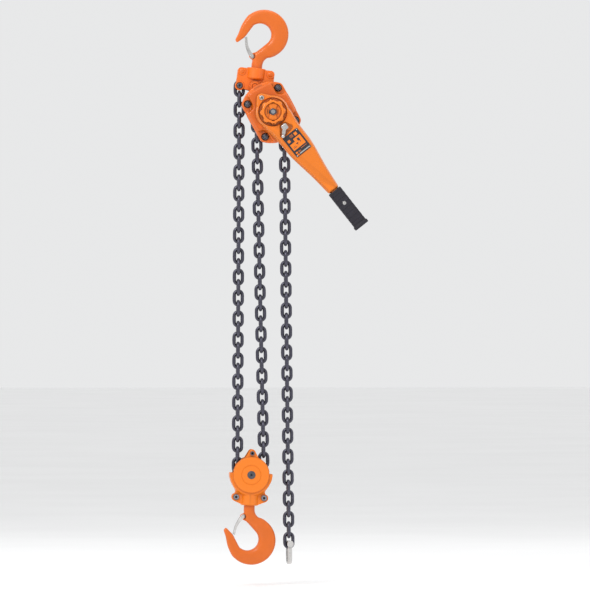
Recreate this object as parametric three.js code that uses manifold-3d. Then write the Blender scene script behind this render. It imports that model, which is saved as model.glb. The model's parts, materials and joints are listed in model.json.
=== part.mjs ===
// Lever chain hoist with two load falls and a bottom block, as an assembly of separate parts.
// Millimetres, +Z up, +X to the right seen from the lever side, and the lever side faces -Y.
// The origin is the seat of the top hook: the highest point inside its bowl. The chain plane is y = 0.
import * as THREE from 'three';
import { mergeVertices } from 'three/addons/utils/BufferGeometryUtils.js';
import Module from 'manifold-3d';

const wasm = await Module();
wasm.setup();

// ---- driving dimensions -------------------------------------------------------------------------

const GAP = 0.3;

// Load chain: round wire, every other link turned by 90 degrees.
const WIRE = 10;
const PITCH = 30;
const LINK_WIDTH = 33;
const FALL_WIDTH = 30;
const FALL_WEB = 6;
const LINK_STRAIGHT = (PITCH + 2 * WIRE - LINK_WIDTH) / 2;

// Hooks, with the neck's axis at x = 0 and the bowl's centre level at z = 0.
const BOWL_X = -1.7;
const BOWL_R = 31.8;
const BACK_X = 9.8;
const BACK_Z = -3.1;
const BACK_R = 70;
const NECK_R = 15.7;
const NECK_TOP = 96.5;
const SHANK_R = 12;
const NUT_R = 17;
const LATCH_PIVOT = [-18, 64];
const LATCH_END = [-40.3, 13.1];
const LATCH_HALF = 9.4;
const LUG_HALF = 7;

// Top suspension: hook and yoke hang tilted from the seat.
const HOOK_TILT = 7;
const YOKE_HALF = 14;
const YOKE_COLLAR = 21.6;
const YOKE_BOSS_R = 27;
const YOKE_BOSS_HEIGHT = 34;
const ANCHOR = [-43, -56];
const SUSPENSION = [0, -54];
const YOKE_RIVET = [41.5, -14.4];
const ANCHOR_PIN_R = 5.8;
const SUSPENSION_PIN_R = 9.5;
const ANCHOR_SLOT_HALF = 6.6;

// Head: everything turns about the main axis, and the stay bolts tie the two side plates together.
const MAIN = [29, -256];
const HEAD_TILT = -28.4;
const STAY = [49.5, 52.8];
const STAY_R = 4.5;
const PLATE_IN = 22;
const PLATE_OUT = 28;
const COVER_R = 88;
const COVER_HALF = 65.5;
const COVER_WALL = 3.5;
const BRAKE_RIM = 58;
const BRAKE_FRONT = 70;
const GEAR_RIM = 63;
const GEAR_BACK = 75;
const GEAR_INSET = 7;
const BULGE_R = 60;
const GEAR_BULGE_R = 54;

// Load sheave and idler sheave.
const SHEAVE_PITCH_R = 40;
const IDLER_PITCH_R = 38.2;
const SHEAVE_R = 50;
const SHEAVE_HALF = 20.5;
const JOURNAL_R = 17;
const BEARING_R = 24;
const SHAFT_R = 8.7;

// Reduction: the main shaft's pinion drives two wheels, whose pinions drive the load gear.
const GEAR_CENTRES = 42;
const FAST_MODULE = 2.625;
const SLOW_MODULE = 3.5;
const SHAFT_TEETH = 8;
const WHEEL_TEETH = 24;
const PINION_TEETH = 8;
const LOAD_TEETH = 16;

// Load brake.
const RATCHET_TEETH = 12;
const RATCHET_R = 44;
const RATCHET_ROOT = 37;
const RATCHET_PHASE = -18.5;
const DISC_R = 36;
const PAWL_NOSE_ANGLE = -16.1;
const PAWL_NOSE_R = 46.4;
const PAWL_PIVOT_ANGLE = 13;
const PAWL_PIVOT_R = 54.6;

// Lever, drawn pointing down from the main axis.
const LEVER_TILT = -38.3;
const LEVER_FRONT = 105;
const LEVER_BACK = 78.4;
const HOUSING_R = 47;
const RECESS_R = 41;
const RECESS_FLOOR = 97;
const SELECTOR_Z = -55;
const SELECTOR_TIP = [-20, -73];
const SCREW_Z = 51;
const LEVER_SIDE = [[43, -40], [38, -75], [38, -126], [34, -158], [27, -201], [23, -230], [17.4, -286]];
const PLATE_SIZE = [52, 68];
const PLATE_Z = -112;
const GRIP_TOP = -286;
const GRIP_END = -414;
const GRIP_WIDTH = 41;
const GRIP_DEPTH = 28;
const GRIP_Y = -92;

// Hand wheel.
const LOBES = 8;
const LOBE_MEAN = 33.7;
const LOBE_SWING = 3.1;
const WHEEL_BACK = 98;
const WHEEL_FRONT = 122;

// Bottom block.
const BLOCK = [-26.9, -1294];
const BLOCK_TILT = 2.55;
const BLOCK_DISC_R = 51.5;
const BLOCK_FACE = 33;
const SHELL_FACE = 27;
const LOW_FACE = 14;
const BLOCK_TOP_BOLT = [0, 62];
const BLOCK_LOW_BOLT = [40, -65];
const BLOCK_HOOK_Z = -185;
const GUARD_IN = 57;
const GUARD_OUT = 61.5;

// Slack fall and its end stop.
const TAIL_END = [83, -1497];
const STOP_DROP = 57.6;
const STRAP_R = 14;
const STRAP_WALL = 5.8;

// ---- materials ----------------------------------------------------------------------------------

const finish = (color, roughness, metalness) => new THREE.MeshStandardMaterial({ color, roughness, metalness });
const paint = finish(0xe8782f, 0.42, 0.1);
const leverPaint = finish(0xf0964a, 0.45, 0.05);
const coverPaint = finish(0xdc6e33, 0.42, 0.1);
const blackSteel = finish(0x3c3b41, 0.5, 0.7);
const zinc = finish(0xb9babd, 0.32, 0.9);
const brightSteel = finish(0x8f9196, 0.35, 0.95);
const friction = finish(0x5b4a3e, 0.9, 0.0);
const rubber = finish(0x38363e, 0.75, 0.0);
const label = finish(0x2b2a2e, 0.5, 0.0);

// ---- solids -------------------------------------------------------------------------------------

const RAD = Math.PI / 180;

/** A point at radius r and an angle in degrees from +X towards +Z. */
const polar = (r, degrees) => [r * Math.cos(degrees * RAD), r * Math.sin(degrees * RAD)];

/** A point turned about +Y by an angle in degrees: clockwise as the lever side shows it. */
function turned([x, z], degrees) {
  const c = Math.cos(degrees * RAD);
  const s = Math.sin(degrees * RAD);
  return [x * c + z * s, z * c - x * s];
}

function toSolid(geometry) {
  const plain = geometry.clone();
  plain.deleteAttribute('normal');
  plain.deleteAttribute('uv');
  const merged = mergeVertices(plain, 1e-4);
  const vertProperties = new Float32Array(merged.attributes.position.array);
  const triVerts = new Uint32Array(merged.index.array);
  return new wasm.Manifold(new wasm.Mesh({ numProp: 3, vertProperties, triVerts }));
}

function toGeometry(solid) {
  const mesh = solid.getMesh();
  const geometry = new THREE.BufferGeometry();
  geometry.setAttribute('position', new THREE.BufferAttribute(new Float32Array(mesh.vertProperties), 3));
  geometry.setIndex(new THREE.BufferAttribute(new Uint32Array(mesh.triVerts), 1));
  geometry.computeVertexNormals();
  return geometry;
}

function cut(solid, ...tools) {
  return tools.reduce((body, tool) => body.subtract(tool), solid);
}

function join(solid, ...others) {
  return others.reduce((body, other) => body.add(other), solid);
}

/** An outline of [x, z] points, extruded from y = front to y = back. */
function prism(outline, front, back, holes = []) {
  const shape = new THREE.Shape(outline.map(([x, z]) => new THREE.Vector2(x, z)));
  for (const hole of holes) {
    shape.holes.push(new THREE.Path(hole.map(([x, z]) => new THREE.Vector2(x, z))));
  }
  const geometry = new THREE.ExtrudeGeometry(shape, { depth: back - front, bevelEnabled: false });
  geometry.rotateX(Math.PI / 2);
  geometry.translate(0, back, 0);
  return toSolid(geometry);
}

function circle(x, z, r, sides = 24) {
  return Array.from({ length: sides }, (_, i) => {
    const [dx, dz] = polar(r, (360 * i) / sides);
    return [x + dx, z + dz];
  });
}

/** The convex outline round a set of circles, each [x, z, radius]. */
function outlineRound(circles, sides = 12) {
  const points = circles.flatMap(([x, z, r]) => circle(x, z, r, sides));
  points.sort((a, b) => a[0] - b[0] || a[1] - b[1]);
  const side = (list) => {
    const chain = [];
    for (const p of list) {
      while (chain.length > 1) {
        const [ax, az] = chain[chain.length - 2];
        const [bx, bz] = chain[chain.length - 1];
        if ((bx - ax) * (p[1] - az) - (bz - az) * (p[0] - ax) > 1e-6) break;
        chain.pop();
      }
      chain.push(p);
    }
    chain.pop();
    return chain;
  };
  return [...side(points), ...side(points.slice().reverse())];
}

/** A round bar along Y, centred on (x, z). */
function bar(x, z, r, front, back, sides = 20) {
  return prism(circle(x, z, r, sides), front, back);
}

/** A round bar along Z, on the axis x = y = 0. */
function post(r, bottom, top, sides = 24) {
  const geometry = new THREE.CylinderGeometry(r, r, top - bottom, sides);
  geometry.rotateX(Math.PI / 2);
  geometry.translate(0, 0, (top + bottom) / 2);
  return toSolid(geometry);
}

function box(low, high) {
  const geometry = new THREE.BoxGeometry(high[0] - low[0], high[1] - low[1], high[2] - low[2]);
  geometry.translate((high[0] + low[0]) / 2, (high[1] + low[1]) / 2, (high[2] + low[2]) / 2);
  return toSolid(geometry);
}

/** A closed profile of [radius, y] points, turned about the Y axis. */
function lathe(profile, sides = 24) {
  const points = [...profile, profile[0]].map(([r, y]) => new THREE.Vector2(r, y));
  return outward(new THREE.LatheGeometry(points, sides));
}

function washer(outer, inner, front, back, sides = 24) {
  return prism(circle(0, 0, outer, sides), front, back, [circle(0, 0, inner, sides)]);
}

function outward(geometry) {
  const plain = geometry.clone();
  plain.deleteAttribute('normal');
  plain.deleteAttribute('uv');
  const merged = mergeVertices(plain, 1e-4);
  const p = merged.attributes.position;
  const index = Array.from(merged.index.array);
  const a = new THREE.Vector3();
  const b = new THREE.Vector3();
  const c = new THREE.Vector3();
  let volume = 0;
  const faces = [];
  for (let i = 0; i < index.length; i += 3) {
    const [u, v, w] = index.slice(i, i + 3);
    if (u === v || v === w || w === u) continue;
    faces.push([u, v, w]);
    a.fromBufferAttribute(p, u);
    b.fromBufferAttribute(p, v);
    c.fromBufferAttribute(p, w);
    volume += a.dot(b.cross(c));
  }
  const ordered = volume < 0 ? faces.map(([u, v, w]) => [u, w, v]) : faces;
  merged.setIndex(ordered.flat());
  return toSolid(merged);
}

/** A solid lofted through rings; each ring is a list of [x, y, z] points of the same count. */
function loft(rings) {
  const sides = rings[0].length;
  const positions = rings.flat(2);
  const middle = (ring) => [0, 1, 2].map((k) => ring.reduce((sum, p) => sum + p[k], 0) / sides);
  positions.push(...middle(rings[0]), ...middle(rings[rings.length - 1]));
  const first = rings.length * sides;
  const faces = [];
  for (let j = 0; j < rings.length - 1; j++) {
    for (let i = 0; i < sides; i++) {
      const a = j * sides + i;
      const b = j * sides + ((i + 1) % sides);
      faces.push(a, b, b + sides, a, b + sides, a + sides);
    }
  }
  for (let i = 0; i < sides; i++) {
    const next = (i + 1) % sides;
    const last = (rings.length - 1) * sides;
    faces.push(next, i, first, last + i, last + next, first + 1);
  }
  const geometry = new THREE.BufferGeometry();
  geometry.setAttribute('position', new THREE.Float32BufferAttribute(positions, 3));
  geometry.setIndex(faces);
  return outward(geometry);
}

/** A toothed outline: trapezoid teeth on a pitch circle, slim enough to run with backlash. */
function gearOutline(teeth, module) {
  const pitch = (teeth * module) / 2;
  const step = 360 / teeth;
  const outline = [];
  for (let i = 0; i < teeth; i++) {
    const middle = i * step;
    outline.push(polar(pitch - 1.15 * module, middle - 0.3 * step));
    outline.push(polar(pitch + 0.75 * module, middle - 0.1 * step));
    outline.push(polar(pitch + 0.75 * module, middle + 0.1 * step));
    outline.push(polar(pitch - 1.15 * module, middle + 0.3 * step));
  }
  return outline;
}

// ---- scene helpers ------------------------------------------------------------------------------

const hoist = new THREE.Group();

function frameAt([x, z], degrees) {
  const group = new THREE.Group();
  group.position.set(x, 0, z);
  group.rotation.y = degrees * RAD;
  hoist.add(group);
  return group;
}

function add(group, name, solid, material) {
  const mesh = new THREE.Mesh(toGeometry(solid), material);
  mesh.name = name;
  group.add(mesh);
  return mesh;
}

// ---- hooks --------------------------------------------------------------------------------------

/** Where the ray from the bowl's centre at an angle meets the hook's outer circle. */
function backPoint(degrees) {
  const [dx, dz] = polar(1, degrees);
  const ox = BOWL_X - BACK_X;
  const oz = -BACK_Z;
  const along = ox * dx + oz * dz;
  const reach = -along + Math.sqrt(along * along - (ox * ox + oz * oz) + BACK_R * BACK_R);
  return [BOWL_X + reach * dx, reach * dz];
}

function hookSolid() {
  const stations = [
    [[-NECK_R, NECK_TOP], [NECK_R, NECK_TOP], NECK_R],
    [[-NECK_R, 84], [15.7, 84], 15.4],
    [[-14.6, 72], [18.5, 75], 15.2],
    [[-13.2, 57], [25, 65.5], 16],
    [[-2, 45.9], [33.7, 62.7], 16.5],
    [[9.1, 34.7], [41.6, 59.3], 17],
  ];
  for (let angle = 47; angle >= -140; angle -= 17) {
    const [dx, dz] = polar(BOWL_R, angle);
    stations.push([[BOWL_X + dx, dz], backPoint(angle), 17]);
  }
  stations.push(
    [[-33.7, -5.9], [-57.5, -21.5], 13.5],
    [[-43.4, 10.7], [-63.3, 2.5], 11],
    [[-54, 21], [-68, 15], 8.5],
    [[-61.5, 28.3], [-69.8, 21.5], 6.5],
    [[-64.5, 29], [-68.5, 25.7], 3.5],
  );
  const sides = 12;
  const rings = stations.map(([inner, outer, depth]) => Array.from({ length: sides }, (_, i) => {
    const c = Math.cos((2 * Math.PI * i) / sides);
    const s = Math.sin((2 * Math.PI * i) / sides);
    const across = Math.sign(c) * Math.abs(c) ** 0.85;
    const x = (inner[0] + outer[0]) / 2 + ((outer[0] - inner[0]) / 2) * across;
    const z = (inner[1] + outer[1]) / 2 + ((outer[1] - inner[1]) / 2) * across;
    return [x, depth * Math.sign(s) * Math.abs(s) ** 0.85, z];
  }));
  const [px, pz] = LATCH_PIVOT;
  const lug = prism(outlineRound([[px, pz, 7.5], [-8, 70, 6], [-6, 58, 5]]), -LUG_HALF, LUG_HALF);
  const shank = post(SHANK_R, 88, NECK_TOP + 34);
  const pockets = [-1, 1].map((side) => {
    const near = side * (LUG_HALF + GAP);
    const far = side * 19;
    return bar(px, pz, 9.8, Math.min(near, far), Math.max(near, far));
  });
  const bore = bar(px, pz, 3.4, -20, 20, 12);
  return cut(join(loft(rings), lug, shank), ...pockets, bore);
}

function hookNut() {
  const bottom = NECK_TOP + 16;
  const hexagon = post(NUT_R, bottom, bottom + 14, 6);
  return cut(hexagon, post(SHANK_R + GAP, bottom - 1, bottom + 15));
}

/** A channel of pressed sheet whose cheeks straddle the lug, with its pin through the lug's hole. */
function latchSolid() {
  const [px, pz] = LATCH_PIVOT;
  const [ex, ez] = LATCH_END;
  const half = [px + (ex - px) * 0.5 - 2, pz + (ez - pz) * 0.5];
  const body = prism(outlineRound([[px, pz, 6], [...half, 5], [ex, ez, 3.2]], 14), -LATCH_HALF, LATCH_HALF);
  const inside = prism(
    outlineRound([[px, pz, 10], [px + (ex - px) * 0.42 + 3, pz + (ez - pz) * 0.42, 8]], 14),
    -LUG_HALF - 0.6,
    LUG_HALF + 0.6,
  );
  return join(cut(body, inside), bar(px, pz, 3, -LATCH_HALF, LATCH_HALF, 12));
}

// ---- load chain ---------------------------------------------------------------------------------

/** One flat link in the plane y = 0, its length along Z, centred on z. */
function flatLink(z, half = WIRE / 2) {
  const radius = LINK_WIDTH / 2;
  const outer = outlineRound([[0, z + LINK_STRAIGHT, radius], [0, z - LINK_STRAIGHT, radius]], 16);
  const inner = outlineRound([[0, z + LINK_STRAIGHT, radius - WIRE], [0, z - LINK_STRAIGHT, radius - WIRE]], 12);
  return prism(outer, -half, half, [inner]);
}

/** The cross that two neighbouring links make, seen along the chain. */
function crossOutline(width, web) {
  const w = width / 2;
  const t = web / 2;
  return [[w, -t], [w, t], [t, t], [t, w], [-t, w], [-t, t], [-w, t], [-w, -t], [-t, -t], [-t, -w], [t, -w], [t, -t]];
}

/** A straight stretch of chain with a cross section, between two heights. */
function chainBody(top, bottom) {
  const shape = new THREE.Shape(crossOutline(FALL_WIDTH, FALL_WEB).map(([x, y]) => new THREE.Vector2(x, y)));
  const geometry = new THREE.ExtrudeGeometry(shape, { depth: top - bottom, bevelEnabled: false });
  geometry.translate(0, 0, bottom);
  return toSolid(geometry);
}

/** The chain that lies in a sheave's groove over a half turn, above the axis or below it. */
function wrapSolid(upper) {
  const sides = 10;
  const rings = [];
  const spare = 4;
  for (let j = 0; j <= sides; j++) {
    const angle = (upper ? spare : 180 + spare) + ((180 - 2 * spare) * j) / sides;
    rings.push(crossOutline(FALL_WIDTH, FALL_WEB).map(([across, radial]) => {
      const [x, z] = polar((upper ? SHEAVE_PITCH_R : IDLER_PITCH_R) + radial, angle);
      return [x, across, z];
    }));
  }
  return loftCross(rings);
}

/** A loft whose end caps are the cross's own two bars, because a fan would leave the outline. */
function loftCross(rings) {
  const sides = rings[0].length;
  const positions = rings.flat(2);
  const faces = [];
  for (let j = 0; j < rings.length - 1; j++) {
    for (let i = 0; i < sides; i++) {
      const a = j * sides + i;
      const b = j * sides + ((i + 1) % sides);
      faces.push(a, b, b + sides, a, b + sides, a + sides);
    }
  }
  const cap = [[0, 1, 11], [1, 2, 11], [2, 3, 4], [2, 4, 5], [5, 6, 7], [5, 7, 8], [8, 9, 10], [8, 10, 11],
    [2, 5, 8], [2, 8, 11]];
  const last = (rings.length - 1) * sides;
  for (const [a, b, c] of cap) {
    faces.push(a, c, b, last + a, last + b, last + c);
  }
  const geometry = new THREE.BufferGeometry();
  geometry.setAttribute('position', new THREE.Float32BufferAttribute(positions, 3));
  geometry.setIndex(faces);
  return outward(geometry);
}

/** A frame at a point whose -Z axis runs towards another point. */
function hanging(from, to) {
  const degrees = Math.atan2(from[0] - to[0], from[1] - to[1]) / RAD;
  return { group: frameAt(from, degrees), length: Math.hypot(from[0] - to[0], from[1] - to[1]) };
}

// ---- top suspension -----------------------------------------------------------------------------

const neckFoot = turned([-BOWL_X, 0], HOOK_TILT);
const suspensionAt = [neckFoot[0], neckFoot[1] - BOWL_R];
const suspension = frameAt(suspensionAt, HOOK_TILT);
const upright = new THREE.Group();
upright.rotation.x = Math.PI;
suspension.add(upright);
add(upright, 'top_hook', hookSolid(), paint);
add(upright, 'top_hook_nut', hookNut(), brightSteel);
add(upright, 'top_latch', latchSolid(), zinc);

const yoke = new THREE.Group();
yoke.position.z = -NECK_TOP;
suspension.add(yoke);

/** A point of the yoke's own frame, in the hoist's frame. */
function yokePoint([x, z]) {
  const [dx, dz] = turned([x, z - NECK_TOP], HOOK_TILT);
  return [suspensionAt[0] + dx, suspensionAt[1] + dz];
}

function yokeHalf(side) {
  const near = side * GAP / 2;
  const far = side * YOKE_HALF;
  const outline = outlineRound([[-43, -13, 10], [43, -13, 10], [...ANCHOR, 12.6], [...SUSPENSION, 15.5], [43, -36, 10]]);
  const plate = prism(outline, Math.min(near, far), Math.max(near, far));
  const bossSide = side < 0 ? box([-30, -30, -40], [30, -GAP / 2, 5]) : box([-30, GAP / 2, -40], [30, 30, 5]);
  const boss = post(YOKE_BOSS_R, -YOKE_BOSS_HEIGHT, -0.4).intersect(bossSide);
  const slot = box([ANCHOR[0] - 22, -ANCHOR_SLOT_HALF, -80], [ANCHOR[0] + 20, ANCHOR_SLOT_HALF, ANCHOR[1] + 18]);
  const bores = [
    bar(...SUSPENSION, SUSPENSION_PIN_R + GAP, -40, 40),
    bar(...ANCHOR, ANCHOR_PIN_R + GAP, -40, 40, 16),
    bar(...YOKE_RIVET, 5 + GAP, -40, 40, 12),
    bar(-YOKE_RIVET[0], YOKE_RIVET[1], 5 + GAP, -40, 40, 12),
  ];
  const collar = bar(...SUSPENSION, 15.5, Math.min(near, side * YOKE_COLLAR), Math.max(near, side * YOKE_COLLAR), 24);
  const nutRoom = post(NUT_R + 2, -31, -14);
  const shankRoom = post(SHANK_R + 0.6, -35, 1);
  return cut(join(plate, boss, collar), slot, shankRoom, nutRoom, ...bores);
}

add(yoke, 'yoke_front', yokeHalf(-1), paint);
add(yoke, 'yoke_rear', yokeHalf(1), paint);

function headedPin(x, z, r, headR, reach, headHeight, headSides) {
  const stem = bar(x, z, r, -reach - 1, reach + 1, 12);
  const head = (front, back) => bar(x, z, headR, front, back, headSides);
  return join(stem, head(-reach - headHeight, -reach), head(reach, reach + headHeight));
}

for (const [name, side] of [['left', -1], ['right', 1]]) {
  const rivet = headedPin(side * YOKE_RIVET[0], YOKE_RIVET[1], 5, 7, YOKE_HALF + GAP, 3.5, 12);
  add(yoke, `yoke_rivet_${name}`, rivet, paint);
}
add(yoke, 'chain_anchor_pin', headedPin(...ANCHOR, ANCHOR_PIN_R, 8.6, YOKE_HALF + GAP, 5.5, 6), blackSteel);
add(yoke, 'suspension_pin', bar(...SUSPENSION, SUSPENSION_PIN_R, -PLATE_OUT, PLATE_OUT), brightSteel);

// ---- head: side plates, stay bolts, covers ------------------------------------------------------

const head = frameAt(MAIN, HEAD_TILT);
const pinAt = yokePoint(SUSPENSION);
const pinInHead = turned([pinAt[0] - MAIN[0], pinAt[1] - MAIN[1]], -HEAD_TILT);
const stays = [[-1, 1], [1, 1], [1, -1], [-1, -1]].map(([i, j]) => [i * STAY[0], j * STAY[1]]);
const plateOutline = outlineRound(stays.map(([x, z]) => [x, z, 11]));
const lugOutline = outlineRound([[...pinInHead, 15.5], [pinInHead[0] * 0.5, pinInHead[1] * 0.5, 24]]);

/** The rounded plate shape that both covers share: a circle cut off by two straight sides. */
function coverOutline(inset) {
  const r = COVER_R - inset;
  const half = COVER_HALF - inset;
  const corner = Math.acos(half / r) / RAD;
  const arc = (from, to) => Array.from({ length: 7 }, (_, i) => polar(r, from + ((to - from) * i) / 6));
  return [...arc(corner, 180 - corner), ...arc(180 + corner, 360 - corner)];
}

function sidePlate(front, back, extra) {
  const bores = [
    bar(0, 0, BEARING_R + GAP, front - 1, back + 1),
    bar(...pinInHead, SUSPENSION_PIN_R + GAP, front - 1, back + 1),
    ...stays.map(([x, z]) => bar(x, z, STAY_R + GAP, front - 1, back + 1, 12)),
    ...extra,
  ];
  return cut(join(prism(plateOutline, front, back), prism(lugOutline, front, back)), ...bores);
}

const gearAxes = [['upper', GEAR_CENTRES], ['lower', -GEAR_CENTRES]];
const journalBores = gearAxes.map(([, z]) => bar(0, z, 6.4, PLATE_IN - 1, PLATE_OUT + 1, 16));
const pawlPivots = [0, 180].map((turn) => polar(PAWL_PIVOT_R, PAWL_PIVOT_ANGLE + turn));
const pawlPosts = pawlPivots.map(([x, z]) => bar(x, z, 3.6, -46, -PLATE_OUT + 1, 12));
add(head, 'side_plate_front', join(sidePlate(-PLATE_OUT, -PLATE_IN, []), ...pawlPosts), paint);
add(head, 'side_plate_rear', sidePlate(PLATE_IN, PLATE_OUT, journalBores), paint);

stays.forEach(([x, z], i) => {
  const stem = bar(x, z, STAY_R, -BRAKE_RIM - 11, GEAR_RIM + 8, 12);
  const nut = bar(x, z, 9, -BRAKE_RIM - 9, -BRAKE_RIM - GAP, 12);
  const boltHead = bar(x, z, 8.6, GEAR_RIM + GAP, GEAR_RIM + 7, 6);
  add(head, `stay_bolt_${i + 1}`, join(stem, nut, boltHead), blackSteel);
});

const clearOfStays = (front, back) => stays.map(([x, z]) => bar(x, z, STAY_R + GAP, front, back, 10));
const nutPockets = (front, back) => stays.map(([x, z]) => bar(x, z, 12.5, front, back, 10));

function brakeCover() {
  const rim = prism(coverOutline(0), -BRAKE_RIM, -PLATE_OUT - GAP);
  const bulge = bar(0, 0, BULGE_R, -BRAKE_FRONT, -BRAKE_RIM + 1, 24);
  const hollow = prism(coverOutline(COVER_WALL), -BRAKE_RIM + COVER_WALL, 0);
  const deep = bar(0, 0, 48, -BRAKE_FRONT + COVER_WALL, 0, 24);
  const bosses = stays.map(([x, z]) => bar(x, z, 9, -BRAKE_RIM + 1, -PLATE_OUT - GAP, 8));
  const shell = cut(join(rim, bulge), hollow, deep, bar(0, 0, 22, -BRAKE_FRONT - 1, 0));
  const shaftSide = cut(join(shell, ...bosses), ...nutPockets(-BRAKE_FRONT - 1, -BRAKE_RIM));
  return cut(shaftSide, ...clearOfStays(-BRAKE_FRONT - 1, 0));
}

function gearCover() {
  const rim = prism(coverOutline(GEAR_INSET), PLATE_OUT + GAP, GEAR_RIM);
  const bulge = bar(0, 0, GEAR_BULGE_R, GEAR_RIM - 1, GEAR_BACK, 24);
  const hollow = prism(coverOutline(GEAR_INSET + COVER_WALL), 0, GEAR_RIM - COVER_WALL);
  const deep = bar(0, 0, 50, 0, GEAR_BACK - COVER_WALL, 24);
  const bosses = stays.map(([x, z]) => bar(x, z, 9, PLATE_OUT + GAP, GEAR_RIM - 1, 8));
  const bearings = [[0, 10.5], [GEAR_CENTRES, 9.5], [-GEAR_CENTRES, 9.5]];
  const rings = bearings.map(([z, r]) => bar(0, z, r, 57, GEAR_BACK - 2, 16));
  const sockets = [[0, 7.4], [GEAR_CENTRES, 6.4], [-GEAR_CENTRES, 6.4]];
  const shell = join(cut(join(rim, bulge), hollow, deep), ...bosses, ...rings);
  const holes = sockets.map(([z, r]) => bar(0, z, r, 50, GEAR_BACK - COVER_WALL - 1.5, 16));
  const pockets = nutPockets(GEAR_RIM, GEAR_BACK + 1);
  return cut(shell, ...holes, ...pockets, ...clearOfStays(0, GEAR_BACK + 1));
}

add(head, 'brake_cover', brakeCover(), coverPaint);
add(head, 'gear_cover', gearCover(), coverPaint);

const guideAt = [[-5, -62], [5, -62]].map((p) => turned(p, -HEAD_TILT));
const guide = prism(outlineRound(guideAt.map(([x, z]) => [x, z, 6.5]), 12), -PLATE_IN + GAP, PLATE_IN - GAP);
add(head, 'chain_guide', guide, blackSteel);

// ---- load sheave and reduction ------------------------------------------------------------------

/** Rim to rim of a grooved sheave: deep slot for the upright links, shoulders for the flat ones. */
function grooveFor(pitchR) {
  const shoulder = pitchR - 5;
  const slot = pitchR - 17;
  return [
    [SHEAVE_R, -SHEAVE_HALF], [SHEAVE_R, -16.5], [shoulder, -16.5], [shoulder, -4.5], [slot, -4.5],
    [slot, 4.5], [shoulder, 4.5], [shoulder, 16.5], [SHEAVE_R, 16.5], [SHEAVE_R, SHEAVE_HALF],
  ];
}

const sheaveBore = SHAFT_R + 0.6;
const loadSheave = lathe([
  [sheaveBore, -30], [JOURNAL_R, -30], [JOURNAL_R, -SHEAVE_HALF], ...grooveFor(SHEAVE_PITCH_R),
  [JOURNAL_R, SHEAVE_HALF], [JOURNAL_R, 30], [14, 30], [14, 42.3], [sheaveBore, 42.3],
], 20);
add(head, 'load_sheave', loadSheave, brightSteel);
add(head, 'bearing_front', washer(BEARING_R, JOURNAL_R + GAP, -PLATE_OUT, -PLATE_IN + GAP, 20), brightSteel);
add(head, 'bearing_rear', washer(BEARING_R, JOURNAL_R + GAP, PLATE_IN - GAP, PLATE_OUT, 20), brightSteel);

const loadGear = prism(gearOutline(LOAD_TEETH, SLOW_MODULE), 31.5, 41.5, [circle(0, 0, 14 + GAP, 16)]);
add(head, 'load_gear', loadGear, brightSteel);

/** A wheel meets the load gear and the shaft's pinion with a tooth of one in a gap of the other. */
function reductionGear(z) {
  const towards = z > 0 ? 90 : -90;
  const wheelGap = towards + 180 + 180 / WHEEL_TEETH;
  const pinionGap = towards + 180 + 180 / PINION_TEETH;
  const placed = (outline, degrees) => outline.map((p) => {
    const [x, dz] = turned(p, -degrees);
    return [x, z + dz];
  });
  const wheel = prism(placed(gearOutline(WHEEL_TEETH, FAST_MODULE), wheelGap), 45, 53);
  const pinion = prism(placed(gearOutline(PINION_TEETH, SLOW_MODULE), pinionGap), 30, 45);
  return join(wheel, pinion, bar(0, z, 6, PLATE_IN + GAP, 67, 16));
}

for (const [name, z] of gearAxes) {
  add(head, `reduction_gear_${name}`, reductionGear(z), brightSteel);
}

const shaftPinion = prism(gearOutline(SHAFT_TEETH, FAST_MODULE).map((p) => turned(p, -90)), 44, 55.5);
const mainShaft = join(
  lathe([[0, -124], [6, -124], [6, -99], [SHAFT_R, -99], [SHAFT_R, 44], [7, 44], [7, 69], [0, 69]], 20),
  shaftPinion,
);
add(head, 'main_shaft', mainShaft, brightSteel);

// ---- load brake ---------------------------------------------------------------------------------

const hubBore = SHAFT_R + GAP;
const brakeHub = lathe([[hubBore, -47.9], [19, -47.9], [19, -36], [38, -36], [38, -31.5], [hubBore, -31.5]], 20);
add(head, 'brake_hub', brakeHub, brightSteel);
add(head, 'friction_disc_inner', washer(DISC_R, 20, -38.8, -36.3), friction);
add(head, 'friction_disc_outer', washer(DISC_R, 20, -48, -45.5), friction);

function ratchetOutline() {
  const step = 360 / RATCHET_TEETH;
  const outline = [];
  for (let i = 0; i < RATCHET_TEETH; i++) {
    const start = RATCHET_PHASE + i * step;
    outline.push(polar(RATCHET_ROOT, start));
    outline.push(polar((RATCHET_ROOT + RATCHET_R) / 2, start + step / 2));
    outline.push(polar(RATCHET_R, start + step - 0.8));
  }
  return outline;
}

add(head, 'ratchet_wheel', prism(ratchetOutline(), -45.2, -39.1, [circle(0, 0, 20, 20)]), brightSteel);

[['right', 0], ['left', 180]].forEach(([name, turn], i) => {
  const nose = polar(PAWL_NOSE_R, PAWL_NOSE_ANGLE + turn);
  const body = prism(outlineRound([[...pawlPivots[i], 6.2], [...nose, 2]], 16), -45, -39.3);
  add(head, `brake_pawl_${name}`, cut(body, bar(...pawlPivots[i], 3.9, -50, -30, 12)), blackSteel);
});

// ---- lever --------------------------------------------------------------------------------------

const lever = frameAt(MAIN, LEVER_TILT);

/** Housing circle round the main axis, then the tapering arm, down to a stub inside the grip. */
function leverOutline(inset, lastZ) {
  const r = HOUSING_R - inset;
  const top = Array.from({ length: 13 }, (_, i) => polar(r, -20 + (220 * i) / 12));
  const side = LEVER_SIDE.filter(([, z]) => z >= lastZ);
  const left = side.map(([x, z]) => [inset - x, z]);
  const right = side.map(([x, z]) => [x - inset, z]).reverse();
  return [...top, ...left, ...right];
}

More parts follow.
